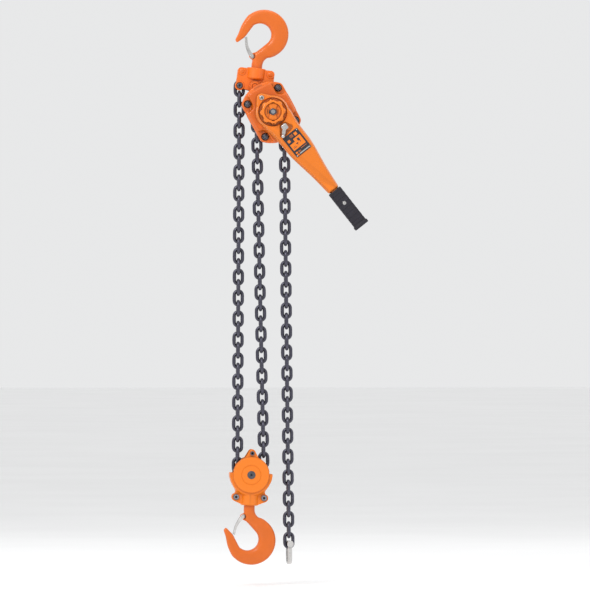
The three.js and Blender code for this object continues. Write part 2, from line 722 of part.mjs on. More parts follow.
function leverArm() {
  const front = -LEVER_FRONT;
  const back = -LEVER_BACK;
  const shell = prism(leverOutline(0, -290), front, back);
  const boss = prism(outlineRound([[0, SCREW_Z, 12], [0, 30, 26]]), front, back);
  const stub = box([-9, GRIP_Y - 7, -404], [9, GRIP_Y + 7, -280]);
  const handWheelRecess = bar(0, 0, RECESS_R, front - 1, -RECESS_FLOOR, 24);
  const shaftHole = bar(0, 0, 17, front, back + 1);
  const gearRoom = prism(outlineRound([[0, 0, 34], [0, SELECTOR_Z, 28]]), -93, back + 1);
  const armRoom = prism([[-31, -88], [31, -88], [29, -150], [17, -225], [-17, -225], [-29, -150]], -101, back + 1);
  const selectorHole = bar(0, SELECTOR_Z, 5.4, front - 1, back, 12);
  const pocket = prism(outlineRound([[0, SELECTOR_Z, 15], [-19, -71, 7.5], [14, -66, 8]]), front - 1, -101.5);
  const openings = [handWheelRecess, shaftHole, gearRoom, armRoom, selectorHole, pocket];
  const screwHole = bar(0, SCREW_Z, 3.4, front - 1, back + 1, 12);
  return cut(join(shell, boss, stub), ...openings, screwHole);
}

add(lever, 'lever_arm', leverArm(), leverPaint);

const housingBack = prism(
  outlineRound([[0, 0, HOUSING_R], [0, SCREW_Z, 12], [-25, -100, 12], [25, -100, 12]]),
  -LEVER_BACK + GAP,
  -74,
);
add(lever, 'lever_back_plate', cut(housingBack, bar(0, 0, 17, -90, -60), bar(0, SCREW_Z, 3.4, -90, -60, 12)), leverPaint);
const leverScrew = join(bar(0, SCREW_Z, 3, -106, -74, 12), bar(0, SCREW_Z, 6.2, -109, -LEVER_FRONT - GAP, 12));
add(lever, 'lever_screw', leverScrew, zinc);

const [plateWidth, plateHeight] = PLATE_SIZE;
const plateLow = [-plateWidth / 2, -LEVER_FRONT - 1.3, PLATE_Z - plateHeight / 2];
const plateHigh = [plateWidth / 2, -LEVER_FRONT - GAP, PLATE_Z + plateHeight / 2];
add(lever, 'name_plate', box(plateLow, plateHigh), label);

function gripSection(width, depth, z) {
  const sides = 16;
  return Array.from({ length: sides }, (_, i) => {
    const c = Math.cos((2 * Math.PI * (i + 0.5)) / sides);
    const s = Math.sin((2 * Math.PI * (i + 0.5)) / sides);
    const across = Math.sign(c) * Math.abs(c) ** 0.5;
    const through = Math.sign(s) * Math.abs(s) ** 0.5;
    return [(width / 2) * across, GRIP_Y + (depth / 2) * through, z];
  });
}

const gripRings = [
  [GRIP_WIDTH - 1, GRIP_DEPTH - 1, GRIP_TOP - 4.5],
  [GRIP_WIDTH, GRIP_DEPTH, GRIP_TOP - 7],
  [GRIP_WIDTH, GRIP_DEPTH, GRIP_END + 9],
  [46, 33, GRIP_END + 8],
  [46, 33, GRIP_END + 1.5],
  [43, 30, GRIP_END],
];
const gripBody = loft(gripRings.map(([width, depth, z]) => gripSection(width, depth, z)));
const gripSocket = box([-9.4, GRIP_Y - 7.4, -405], [9.4, GRIP_Y + 7.4, -270]);
const gripHole = bar(0, -331, 3.6, GRIP_Y - 30, GRIP_Y + 30, 12);
add(lever, 'grip', cut(gripBody, gripSocket, gripHole), rubber);
const stubHole = bar(0, -331, 3.6, GRIP_Y - 30, GRIP_Y + 30, 12);
const arm = lever.children.find((mesh) => mesh.name === 'lever_arm');
arm.geometry = toGeometry(cut(toSolid(arm.geometry), stubHole));
const gripRivet = join(
  bar(0, -331, 3.2, GRIP_Y - 15, GRIP_Y + 15, 12),
  bar(0, -331, 5, GRIP_Y - 16.3, GRIP_Y - 14.3, 12),
  bar(0, -331, 5, GRIP_Y + 14.3, GRIP_Y + 16.3, 12),
);
add(lever, 'grip_rivet', gripRivet, zinc);

const [tipX, tipZ] = SELECTOR_TIP;
const selector = join(
  bar(0, SELECTOR_Z, 5, -112, -80, 12),
  prism(outlineRound([[0, SELECTOR_Z, 8.6], [tipX, tipZ, 5]], 14), -111, -106.8),
  bar(tipX, tipZ, 5.5, -118, -107, 12),
);
add(lever, 'selector_lever', selector, zinc);

const changeoverPawl = prism(
  outlineRound([[0, SELECTOR_Z, 9], [-14, SELECTOR_Z + 19, 2.2], [14, SELECTOR_Z + 19, 2.2]], 14),
  -91,
  -80.5,
);
add(lever, 'changeover_pawl', cut(changeoverPawl, bar(0, SELECTOR_Z, 5 + GAP, -95, -75, 12)), blackSteel);

// ---- hand wheel and changeover gear -------------------------------------------------------------

function starOutline(mean, swing, lobes, points) {
  return Array.from({ length: points }, (_, i) => {
    const angle = (360 * i) / points;
    return polar(mean + swing * Math.cos(lobes * angle * RAD), angle);
  });
}

const pressureFlange = lathe([
  [hubBore, -54], [hubBore, -48.3], [DISC_R, -48.3], [DISC_R, -53], [16, -54.5], [16, -92.6], [hubBore, -92.6],
], 24);
const driveTeeth = prism(starOutline(26, 2, RATCHET_TEETH, 24), -86.5, -79.5, [circle(0, 0, 12, 12)]);
add(lever, 'changeover_gear', join(pressureFlange, driveTeeth), brightSteel);

const wheelBody = prism(starOutline(LOBE_MEAN, LOBE_SWING, LOBES, 32), -WHEEL_FRONT, -WHEEL_BACK);
const wheelBoss = bar(0, 0, 15, -WHEEL_BACK - 1, -93);
const wheelDish = bar(0, 0, 25, -WHEEL_FRONT - 1, -112);
const handWheel = cut(join(wheelBody, wheelBoss), wheelDish, bar(0, 0, hubBore, -130, -90, 16));
add(lever, 'hand_wheel', handWheel, leverPaint);
add(lever, 'hand_wheel_nut', cut(bar(0, 0, 10, -121, -112 - GAP, 6), bar(0, 0, 6.4, -125, -110, 16)), blackSteel);

// ---- bottom block -------------------------------------------------------------------------------

const block = frameAt(BLOCK, BLOCK_TILT);

function blockShell(side) {
  const span = (near, far) => (side < 0 ? [-far, -near] : [near, far]);
  const mid = GAP / 2;
  const [boltX, boltZ] = BLOCK_LOW_BOLT;
  const topLobe = outlineRound([[0, 64.5, 10], [-14, 44, 7], [14, 44, 7]], 16);
  const lowBody = outlineRound([[-boltX, boltZ, 11.5], [boltX, boltZ, 11.5], [0, -58, 30], [0, -40, 44]], 16);
  const lowerArc = (r) => Array.from({ length: 15 }, (_, i) => polar(r, 5 - (i * 190) / 14));
  const guard = prism([...lowerArc(GUARD_OUT), ...lowerArc(GUARD_IN).reverse()], ...span(mid, SHELL_FACE));
  const plates = [
    prism(circle(0, 0, BLOCK_DISC_R), ...span(22, SHELL_FACE)),
    prism(lowerArc(GUARD_OUT), ...span(22, SHELL_FACE)),
    prism(topLobe, ...span(22, SHELL_FACE)),
    bar(0, 0, BLOCK_DISC_R, ...span(SHELL_FACE - 1, BLOCK_FACE), 24),
  ];
  const halfSpace = side < 0 ? box([-40, -40, -100], [40, -mid, 0]) : box([-40, mid, -100], [40, 40, 0]);
  const boss = post(26.5, -88, -52).intersect(halfSpace);
  const body = join(prism(lowBody, ...span(mid, LOW_FACE)), guard, ...plates, boss);
  const room = bar(0, 0, GUARD_IN, -22, 22, 24);
  const mouth = box([-60, -22, 0], [60, 22, 90]);
  const bores = [
    bar(0, 0, 11.8, -40, 40),
    bar(...BLOCK_TOP_BOLT, 5.3, -40, 40, 12),
    bar(boltX, boltZ, 5.8, -40, 40, 12),
    bar(-boltX, boltZ, 5.8, -40, 40, 12),
  ];
  return cut(body, room, mouth, post(SHANK_R + 0.6, -100, -50), post(NUT_R + 1, -74, -50), ...bores);
}

add(block, 'block_shell_front', blockShell(-1), leverPaint);
add(block, 'block_shell_rear', blockShell(1), leverPaint);

const [lowX, lowZ] = BLOCK_LOW_BOLT;
const blockBolts = [
  ['top', ...BLOCK_TOP_BOLT, 5, 6.6, SHELL_FACE],
  ['left', -lowX, lowZ, 5.5, 8.2, LOW_FACE],
  ['right', lowX, lowZ, 5.5, 8.2, LOW_FACE],
];
for (const [name, x, z, r, headR, face] of blockBolts) {
  add(block, `block_bolt_${name}`, headedPin(x, z, r, headR, face + GAP, 5.5, 12), blackSteel);
}
add(block, 'idler_axle', bar(0, 0, 11.5, -BLOCK_FACE - 0.8, BLOCK_FACE + 0.8), blackSteel);
add(block, 'idler_sheave', lathe([[12, -SHEAVE_HALF], ...grooveFor(IDLER_PITCH_R), [12, SHEAVE_HALF]], 20), brightSteel);

const bottomHook = new THREE.Group();
bottomHook.position.z = BLOCK_HOOK_Z;
block.add(bottomHook);

/** The block's shank is shorter than the yoke's, so its nut sits closer to the neck. */
const bottomShankCut = post(20, NECK_TOP + 28, NECK_TOP + 60);
add(bottomHook, 'bottom_hook', cut(hookSolid(), bottomShankCut), paint);
const bottomNut = cut(post(NUT_R, NECK_TOP + 15, NECK_TOP + 27, 6), post(SHANK_R + GAP, NECK_TOP, NECK_TOP + 30));
add(bottomHook, 'bottom_hook_nut', bottomNut, brightSteel);
add(bottomHook, 'bottom_latch', latchSolid(), zinc);

// ---- chain falls --------------------------------------------------------------------------------

const blockLeft = [BLOCK[0] - IDLER_PITCH_R, BLOCK[1]];
const blockRight = [BLOCK[0] + IDLER_PITCH_R, BLOCK[1]];
const anchorAt = yokePoint(ANCHOR);
const middleAt = [MAIN[0] - SHEAVE_PITCH_R, MAIN[1]];
const tailAt = [MAIN[0] + SHEAVE_PITCH_R, MAIN[1]];

const left = hanging(anchorAt, blockLeft);
const firstLink = -LINK_STRAIGHT;
const leftTop = firstLink - PITCH / 2 + WIRE;
const leftFall = join(flatLink(firstLink), chainBody(leftTop, -left.length + 1));
add(left.group, 'left_fall_chain', leftFall, blackSteel);

const middle = hanging(middleAt, blockRight);
const jointDrop = PITCH;
add(middle.group, 'middle_fall_top_link', chainBody(-1.5, -jointDrop), blackSteel);
add(middle.group, 'middle_fall_chain', chainBody(-jointDrop - 1.5, -middle.length + 3), blackSteel);

const tail = hanging(tailAt, TAIL_END);
const tailLast = -tail.length + PITCH / 2;
add(tail.group, 'tail_chain', join(chainBody(-1.5, tailLast + PITCH / 2 - 1), flatLink(tailLast)), blackSteel);

add(head, 'load_sheave_chain', wrapSolid(true), blackSteel).rotation.y = -HEAD_TILT * RAD;
add(block, 'idler_sheave_chain', wrapSolid(false), blackSteel).rotation.y = -BLOCK_TILT * RAD;

/** A bolt through the last link carries a strap, bent to a U, that hangs edge-on below it. */
function endStop() {
  const bolt = join(bar(0, 0, 4, -18, 18, 12), bar(0, 0, 9.5, -20, -16, 12), bar(0, 0, 8, 16, 19, 6));
  const bend = STRAP_R - STOP_DROP;
  const wide = (half, top) => outlineRound([[-half + 1, top, 1], [half - 1, top, 1], [0, bend, half]], 16);
  const strap = cut(prism(wide(STRAP_R, 8), -6, 6), prism(wide(STRAP_R - STRAP_WALL, 30), -8, 8));
  return join(bolt, strap.rotate([0, 0, 90]));
}

const stop = new THREE.Group();
stop.position.z = tailLast - PITCH / 2 + 4.6;
tail.group.add(stop);
add(stop, 'chain_end_stop', endStop(), zinc);

export default hoist;
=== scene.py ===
"""Lever chain hoist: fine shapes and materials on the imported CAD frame. Local shapes are in millimetres."""
import json
from math import atan2, copysign, cos, degrees as in_degrees, dist, hypot, pi, radians, sin, sqrt

import bmesh
import bpy
import numpy as np
from mathutils import Matrix, Vector


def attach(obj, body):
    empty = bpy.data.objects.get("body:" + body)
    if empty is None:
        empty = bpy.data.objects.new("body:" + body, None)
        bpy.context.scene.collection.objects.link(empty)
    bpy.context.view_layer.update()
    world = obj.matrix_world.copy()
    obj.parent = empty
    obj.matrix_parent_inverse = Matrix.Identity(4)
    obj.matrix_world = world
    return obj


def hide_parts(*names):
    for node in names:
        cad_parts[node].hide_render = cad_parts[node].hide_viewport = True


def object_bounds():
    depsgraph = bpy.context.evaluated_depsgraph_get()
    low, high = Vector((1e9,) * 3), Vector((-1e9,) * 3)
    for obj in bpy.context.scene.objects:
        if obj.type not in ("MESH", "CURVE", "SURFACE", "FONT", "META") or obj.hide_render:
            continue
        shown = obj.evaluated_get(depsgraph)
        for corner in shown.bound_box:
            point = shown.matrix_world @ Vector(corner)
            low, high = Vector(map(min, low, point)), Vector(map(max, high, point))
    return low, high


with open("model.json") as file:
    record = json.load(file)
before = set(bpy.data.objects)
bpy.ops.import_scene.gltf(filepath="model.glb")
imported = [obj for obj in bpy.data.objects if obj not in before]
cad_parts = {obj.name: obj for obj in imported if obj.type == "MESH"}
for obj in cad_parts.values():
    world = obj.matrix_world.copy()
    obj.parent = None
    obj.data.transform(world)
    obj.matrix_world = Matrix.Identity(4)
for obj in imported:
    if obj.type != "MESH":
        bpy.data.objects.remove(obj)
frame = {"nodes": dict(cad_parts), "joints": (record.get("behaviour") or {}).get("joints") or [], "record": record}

CAD_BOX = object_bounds()
MM = 0.001
JOINTS = {j["name"]: j for j in frame["joints"]}

# ---- driving dimensions, in millimetres and degrees ----

HOOK_TILT = 7.0
HEAD_TILT = -28.4
LEVER_TILT = -38.3
BLOCK_TILT = 2.55

WIRE = 10.0
LINK_WIDTH = 33.0
LINK_LENGTH = 50.0
SHEAVE_PITCH_R = 39.2
IDLER_PITCH_R = 37.6

BOWL_X, BOWL_R = -1.7, 31.8
BACK_X, BACK_Z, BACK_R = 9.8, -3.1, 70.0
NECK_R, NECK_TOP, SHANK_R = 15.7, 96.5, 12.0
LATCH_PIVOT = (-18.0, 64.0)
LATCH_END = (-40.3, 13.1)
LUG_HALF = 7.0
LATCH_HALF = 9.4

STAY = (49.5, 52.8)
COVER_R, COVER_HALF = 88.0, 65.5
COVER_WALL = 3.5
PLATE_IN, PLATE_OUT = 22.0, 28.0


# ---- places ----

def turned(point, degrees):
    c, s = cos(radians(degrees)), sin(radians(degrees))
    return point[0] * c + point[1] * s, point[1] * c - point[0] * s


def joint_at(name):
    """A joint's place in the chain plane, [x, z] in millimetres."""
    x, _, z = JOINTS[name]["pos_m"]
    return x / MM, z / MM


def place(origin, tilt=0.0):
    """The matrix from a local frame in millimetres, tilted about +Y, to the row frame in metres."""
    lift = Matrix.Translation((origin[0] * MM, 0, origin[1] * MM))
    return lift @ Matrix.Rotation(radians(tilt), 4, "Y") @ Matrix.Scale(MM, 4)


def beyond(origin, tilt, point):
    dx, dz = turned(point, tilt)
    return origin[0] + dx, origin[1] + dz


MAIN = joint_at("load_sheave_spin")
NECK_FOOT = joint_at("yoke_swivel")
HOOK_AT = beyond(NECK_FOOT, HOOK_TILT, (0, NECK_TOP))
BLOCK_AT = joint_at("idler_sheave_spin")
LOW_NECK = joint_at("bottom_hook_swivel")
LOW_HOOK_AT = beyond(LOW_NECK, BLOCK_TILT, (0, -NECK_TOP))
ANCHOR_AT = joint_at("falls_swing")
PIN_AT = joint_at("head_tilt")
STOP_AT = joint_at("end_stop_swing")

TOP_HOOK = place(HOOK_AT, HOOK_TILT) @ Matrix.Rotation(pi, 4, "X")
YOKE = place(NECK_FOOT, HOOK_TILT)
HEAD = place(MAIN, HEAD_TILT)
LEVER = place(MAIN, LEVER_TILT)
BLOCK = place(BLOCK_AT, BLOCK_TILT)
LOW_HOOK = place(LOW_HOOK_AT, BLOCK_TILT)


# ---- material nodes ----

def linear(colour):
    return tuple((c / 255) ** 2.2 for c in colour) + (1.0,)


def shade(colour, factor):
    return tuple(min(1.0, c * factor) for c in colour[:3]) + (1.0,)


class Nodes:
    """A small builder over one material's node tree."""

    def __init__(self, name):
        self.material = bpy.data.materials.new(name)
        self.material.use_nodes = True
        self.tree = self.material.node_tree
        self.shader = self.tree.nodes["Principled BSDF"]
        self.coordinates = self.tree.nodes.new("ShaderNodeTexCoord").outputs["Object"]

    def link(self, output, socket):
        self.tree.links.new(output, socket)

    def set(self, **values):
        for key, value in values.items():
            self.shader.inputs[key.replace("_", " ")].default_value = value

    def noise(self, scale, detail=4.0, roughness=0.55, stretch=None):
        node = self.tree.nodes.new("ShaderNodeTexNoise")
        node.inputs["Scale"].default_value = scale
        node.inputs["Detail"].default_value = detail
        node.inputs["Roughness"].default_value = roughness
        source = self.coordinates
        if stretch:
            mapping = self.tree.nodes.new("ShaderNodeMapping")
            mapping.inputs["Scale"].default_value = stretch
            self.link(source, mapping.inputs["Vector"])
            source = mapping.outputs["Vector"]
        self.link(source, node.inputs["Vector"])
        return node.outputs["Fac"]

    def ramp(self, factor, stops):
        node = self.tree.nodes.new("ShaderNodeValToRGB")
        elements = node.color_ramp.elements
        while len(elements) < len(stops):
            elements.new(0.5)
        for element, (position, colour) in zip(elements, stops):
            element.position = position
            element.color = colour if len(colour) == 4 else (*colour, 1.0)
        self.link(factor, node.inputs["Fac"])
        return node.outputs["Color"]

    def grey(self, factor, low, high, start=0.3, end=0.7):
        return self.ramp(factor, [(start, (low,) * 3), (end, (high,) * 3)])

    def mix(self, factor, a, b, blend="MIX"):
        node = self.tree.nodes.new("ShaderNodeMix")
        node.data_type = "RGBA"
        node.blend_type = blend
        for socket, value in ((node.inputs[0], factor), (node.inputs[6], a), (node.inputs[7], b)):
            if hasattr(value, "links"):
                self.link(value, socket)
            else:
                socket.default_value = value
        return node.outputs[2]

    def edges(self, low, high):
        """Where the surface is convex: a mask for painted edge highlights, which on steel also stand for edge
        wear. Pointiness is 0.5 on a flat face.
        """
        geometry = self.tree.nodes.new("ShaderNodeNewGeometry")
        return self.grey(geometry.outputs["Pointiness"], 0.0, 1.0, low, high)

    def hollows(self, low, high):
        """Where the surface is concave: a mask for painted shade in the corners."""
        geometry = self.tree.nodes.new("ShaderNodeNewGeometry")
        return self.grey(geometry.outputs["Pointiness"], 1.0, 0.0, low, high)

    def corners(self, distance, dark):
        """A factor of painted shade: it darkens recesses and places where pieces lie close together."""
        node = self.tree.nodes.new("ShaderNodeAmbientOcclusion")
        node.samples = 8
        node.inputs["Distance"].default_value = distance
        return self.grey(node.outputs["AO"], dark, 1.0, 0.25, 0.85)

    def bump(self, height, distance, strength=1.0, under=None):
        node = self.tree.nodes.new("ShaderNodeBump")
        node.inputs["Distance"].default_value = distance
        node.inputs["Strength"].default_value = strength
        self.link(height, node.inputs["Height"])
        if under is not None:
            self.link(under, node.inputs["Normal"])
        return node.outputs["Normal"]

    def colour(self, output):
        self.link(output, self.shader.inputs["Base Color"])

    def rough(self, output):
        self.link(output, self.shader.inputs["Roughness"])

    def normal(self, output):
        self.link(output, self.shader.inputs["Normal"])


def enamel(name, colour, forged):
    """Orange enamel: faint orange peel over pressed steel, or over the coarser skin of a forging."""
    m = Nodes(name)
    m.set(Coat_Weight=0.3, Coat_Roughness=0.12, Specular_IOR_Level=0.4)
    cloud = m.noise(14, 3)
    base = m.ramp(cloud, [(0.3, shade(colour, 0.93)), (0.7, shade(colour, 1.05))])
    # painted highlight: convex edges are lightened to a brighter orange
    lit = m.mix(m.edges(0.505, 0.56), base, shade(colour, 1.25))
    dust = m.grey(m.noise(90, 8, 0.7), 0.0, 0.22, 0.56, 0.78)
    dirty = m.mix(dust, lit, shade(colour, 0.72))
    # painted shade: concave corners are darkened to a deep orange
    hollow_shaded = m.mix(m.hollows(0.42, 0.49), dirty, shade(colour, 0.38))
    # painted shade: the colour is darkened in recesses and where parts lie close together
    m.colour(m.mix(1.0, hollow_shaded, m.corners(0.01, 0.55), "MULTIPLY"))
    m.rough(m.grey(m.noise(45, 5), 0.42, 0.58))
    peel = m.bump(m.noise(520, 2), 0.00005, 0.5)
    skin = m.bump(m.noise(150 if forged else 60, 4, 0.6), 0.00028 if forged else 0.00008, 0.6, peel)
    m.normal(skin)
    return m.material


def dark_steel(name, colour, rough, metallic, grain, edge):
    """Blackened steel with a bluish sheen, brighter along its edges: edge wear and a painted edge highlight."""
    m = Nodes(name)
    m.set(Metallic=metallic, Specular_IOR_Level=0.6)
    patch = m.noise(70, 5, 0.6)
    base = m.ramp(patch, [(0.3, shade(colour, 0.72)), (0.7, shade(colour, 1.25))])
    # edge wear and painted highlight: convex edges take the lighter edge colour
    worn_and_highlit = m.mix(m.edges(0.51, 0.6), base, edge)
    # painted shade: nearly black in recesses and where parts lie close together
    m.colour(m.mix(1.0, worn_and_highlit, m.corners(0.01, 0.06), "MULTIPLY"))
    m.rough(m.grey(m.noise(160, 6, 0.6), rough - 0.08, rough + 0.14))
    m.normal(m.bump(m.noise(grain, 5, 0.6), 0.00012, 0.6))
    return m.material


def bright_metal(name, colour, rough, stretch):
    """Zinc plate or machined steel, with fine lines along the way that it was worked."""
    m = Nodes(name)
    m.set(Metallic=1.0)
    cloud = m.noise(60, 4)
    base = m.ramp(cloud, [(0.3, shade(colour, 0.82)), (0.7, shade(colour, 1.08))])
    stain = m.grey(m.noise(210, 6, 0.65), 0.0, 0.35, 0.5, 0.75)
    stained = m.mix(stain, base, shade(colour, 0.6))
    # painted shade: the colour is darkened in recesses and where parts lie close together
    m.colour(m.mix(1.0, stained, m.corners(0.008, 0.12), "MULTIPLY"))
    lines = m.noise(900, 3, 0.5, stretch)
    m.rough(m.grey(lines, rough - 0.07, rough + 0.12))
    m.normal(m.bump(lines, 0.00003, 0.5))
    return m.material


def plain(name, colour, rough, grain, depth, specular=0.5):
    """Rubber, lining or printed plate: matt, with a fine grain."""
    m = Nodes(name)
    m.set(Specular_IOR_Level=specular)
    base = m.ramp(m.noise(120, 6, 0.6), [(0.3, shade(colour, 0.8)), (0.7, shade(colour, 1.2))])
    # painted highlight: convex edges are lightened to nearly twice the base colour
    m.colour(m.mix(m.edges(0.51, 0.6), base, shade(colour, 1.9)))
    m.rough(m.grey(m.noise(240, 4), rough - 0.08, rough + 0.1))
    m.normal(m.bump(m.noise(grain, 3), depth, 0.7))
    return m.material


ORANGE = linear((210, 98, 6))
LIGHT_ORANGE = linear((210, 108, 6))
COVER_ORANGE = linear((200, 92, 8))
MATERIALS = {
    "hook_paint": enamel("hook_enamel", ORANGE, True),
    "lever_paint": enamel("lever_enamel", LIGHT_ORANGE, False),
    "cover_paint": enamel("cover_enamel", COVER_ORANGE, False),
    # the last colour of each dark steel is its edge colour: edge wear and painted highlight
    "chain_steel": dark_steel("chain_black", linear((56, 55, 65)), 0.26, 0.6, 260, linear((92, 91, 104))),
    "black_steel": dark_steel("bolt_black", linear((64, 64, 72)), 0.3, 0.85, 420, linear((150, 150, 158))),
    "zinc": bright_metal("zinc_plate", linear((208, 206, 204)), 0.24, None),
    "bright_steel": bright_metal("machined_steel", linear((168, 170, 174)), 0.34, (0.05, 1.0, 0.05)),
    "friction": plain("brake_lining", linear((92, 76, 62)), 0.9, 700, 0.0001),
    "rubber": plain("grip_rubber", linear((34, 32, 39)), 0.62, 900, 0.00006, 0.4),
    "name_plate": plain("plate_black", linear((38, 36, 42)), 0.5, 300, 0.00001),
}
SLOT_OF = {s["node"]: s["material_slot"] for s in frame["record"]["subparts"]}
for node_name, node in frame["nodes"].items():
    node.data.materials.clear()
    node.data.materials.append(MATERIALS[SLOT_OF[node_name]])


# ---- shapes ----

FAR = 40.0      # beyond every face that a through cut has to pass
SPLIT = 0.15    # how far each half of a split casting stays off the chain plane


def polar(r, degrees, centre=(0.0, 0.0)):
    return centre[0] + r * cos(radians(degrees)), centre[1] + r * sin(radians(degrees))


def circle(x, z, r, sides=48):
    return [polar(r, 360 * i / sides, (x, z)) for i in range(sides)]


def around(circles, sides=64):
    """The convex outline round circles, each (x, z, radius)."""
    points = sorted({(round(x, 6), round(z, 6)) for c in circles for x, z in circle(*c, sides)})

    def chain(source):
        kept = []
        for p in source:
            while len(kept) > 1:
                (ax, az), (bx, bz) = kept[-2:]
                if (bx - ax) * (p[1] - az) - (bz - az) * (p[0] - ax) > 1e-9:
                    break
                kept.pop()
            kept.append(p)
        return kept[:-1]

    return chain(points) + chain(points[::-1])


def resampled(outline, count):
    """The same closed outline with evenly spaced points."""
    points = np.array([*outline, outline[0]], float)
    steps = np.hypot(*np.diff(points, axis=0).T)
    along = np.concatenate([[0], np.cumsum(steps)])
    wanted = np.linspace(0, along[-1], count, endpoint=False)
    return list(zip(np.interp(wanted, along, points[:, 0]), np.interp(wanted, along, points[:, 1])))


def rounded(outline, passes, count):
    """An outline with its corners eased: points drift towards their neighbours' middle."""
    points = np.array(resampled(outline, count), float)
    for _ in range(passes):
        points = 0.5 * points + 0.25 * (np.roll(points, 1, 0) + np.roll(points, -1, 0))
    return [tuple(p) for p in points]


def inset(outline, distance):
    """An outline moved inwards along its own normals."""
    points = np.array(outline, float)
    along = np.roll(points, -1, 0) - np.roll(points, 1, 0)
    along /= np.maximum(np.hypot(along[:, 0], along[:, 1]), 1e-9)[:, None]
    area = np.sum(points[:, 0] * np.roll(points[:, 1], -1) - np.roll(points[:, 0], -1) * points[:, 1])
    normal = np.stack([-along[:, 1], along[:, 0]], 1) * np.sign(area)
    return [tuple(p) for p in points + normal * distance]


def in_scene(obj):
    bpy.context.scene.collection.objects.link(obj)
    return obj


def raw_object(points, faces):
    mesh = bpy.data.meshes.new("shape")
    mesh.from_pydata([tuple(map(float, p)) for p in points], [], faces)
    return in_scene(bpy.data.objects.new("shape", mesh))


def mesh_of(points, faces):
    """Points and faces as a clean solid: no doubled points, faces outwards."""
    obj = raw_object(points, faces)
    mesh = obj.data
    mesh.validate()
    tidy = bmesh.new()
    tidy.from_mesh(mesh)
    bmesh.ops.remove_doubles(tidy, verts=tidy.verts, dist=1e-4)
    bmesh.ops.delete(tidy, geom=[e for e in tidy.edges if not e.link_faces], context="EDGES")
    bmesh.ops.recalc_face_normals(tidy, faces=tidy.faces)
    if tidy.calc_volume(signed=True) < 0:
        bmesh.ops.reverse_faces(tidy, faces=tidy.faces)
    tidy.to_mesh(mesh)
    tidy.free()
    return obj


def loft(rings, closed=False):
    """A skin through rings of [x, y, z] points, capped at both ends unless it closes on itself."""
    sides = len(rings[0])
    points = [p for ring in rings for p in ring]
    faces = []
    for j in range(len(rings) if closed else len(rings) - 1):
        for i in range(sides):
            a, b = j * sides + i, j * sides + (i + 1) % sides
            c, d = ((j + 1) % len(rings)) * sides + (i + 1) % sides, ((j + 1) % len(rings)) * sides + i
            faces.append((a, b, c, d))
    if not closed:
        faces.append(tuple(range(sides))[::-1])
        faces.append(tuple((len(rings) - 1) * sides + i for i in range(sides)))
    return mesh_of(points, faces)


def layers(steps):
    """A solid through outlines at heights along Y: steps is a list of (outline, y)."""
    return loft([[(x, y, z) for x, z in outline] for outline, y in steps])


def discs(steps):
    """A round solid about Y through (radius, y) steps."""
    return layers([(circle(0, 0, r, 96), y) for r, y in steps])


def stepped(outline, steps):
    """A solid through one outline, moved inwards by a distance at each (distance, y) step."""
    return layers([(inset(outline, less), y) for less, y in steps])


def slab(outline, y0, y1, edge=0.0):
    """A flat solid from y0 to y1 with rounded edges. Its outline has evenly spaced points."""
    low, high = min(y0, y1), max(y0, y1)
    if not edge:
        return layers([(outline, low), (outline, high)])
    steps = []
    for t in (0, 30, 60, 90):
        s, c = sin(radians(t)), cos(radians(t))
        steps.append((inset(outline, edge * (1 - s)), low + edge * (1 - c)))
    return layers(steps + [(o, low + high - y) for o, y in steps[::-1]])


def bar(x, z, r, y0, y1, edge=0.0, sides=48):
    return slab(circle(x, z, r, sides), y0, y1, edge)


def hole(x, z, r, sides=48):
    """A through bore, cut well past both faces."""
    return bar(x, z, r, -FAR, FAR, sides=sides)


def on_side(side, profile):
    """A profile of (radius, depth) points for the front (-1) or the rear (1)."""
    return [(r, side * y) for r, y in profile]


def lathe(profile, sides=96, axis="Y"):
    """A closed profile of (radius, height) points, turned about Y or Z."""
    rings = []
    for i in range(sides):
        c, s = cos(2 * pi * i / sides), sin(2 * pi * i / sides)
        if axis == "Y":
            rings.append([(r * c, h, r * s) for r, h in profile])
        else:
            rings.append([(r * c, r * s, h) for r, h in profile])
    return loft(rings, closed=True)


def cuboid(low, high):
    x0, y0, z0 = low
    x1, y1, z1 = high
    return layers([([(x0, z0), (x1, z0), (x1, z1), (x0, z1)], y) for y in (y0, y1)])


def wire_loop(path, radii, sides=12):
    """Round wire along a closed path in the plane y = 0, with a radius for each point."""
    points = np.array(path, float)
    ahead = np.roll(points, -1, 0) - np.roll(points, 1, 0)
    ahead /= np.linalg.norm(ahead, axis=1)[:, None]
    side = np.cross(ahead[0], (0.0, 1.0, 0.0))
    rings = []
    for p, t, r in zip(points, ahead, radii):
        side = side - t * np.dot(side, t)
        side /= np.linalg.norm(side)
        other = np.cross(t, side)
        angles = [2 * pi * i / sides for i in range(sides)]
        rings.append([p + r * (cos(a) * side + sin(a) * other) for a in angles])
    return loft(rings, closed=True)


def apply_modifiers(obj):
    graph = bpy.context.evaluated_depsgraph_get()
    before = obj.data
    obj.data = bpy.data.meshes.new_from_object(obj.evaluated_get(graph))
    obj.modifiers.clear()
    bpy.data.meshes.remove(before)


def combine(base, others, operation):
    for other in others:
        modifier = base.modifiers.new("boolean", "BOOLEAN")
        modifier.operation = operation
        modifier.solver = "MANIFOLD"
        modifier.object = other
        apply_modifiers(base)
        bpy.data.objects.remove(other)
    return base


def cut(base, *tools):
    return combine(base, tools, "DIFFERENCE")


def join(base, *others):
    return combine(base, others, "UNION")


def merged(objects):
    """Separate solids as one object, without a boolean."""
    points, faces = [], []
    for obj in objects:
        start = len(points)
        points += [tuple(v.co) for v in obj.data.vertices]
        faces += [tuple(start + i for i in p.vertices) for p in obj.data.polygons]
        bpy.data.objects.remove(obj)
    return raw_object(points, faces)


def moved(obj, matrix):
    obj.data.transform(matrix)
    return obj


def shifted(obj, x, z, y=0.0):
    return moved(obj, Matrix.Translation((x, y, z)))


def span(side, near, far):
    """A range on one side of the chain plane, low value first."""
    return (-far, -near) if side < 0 else (near, far)


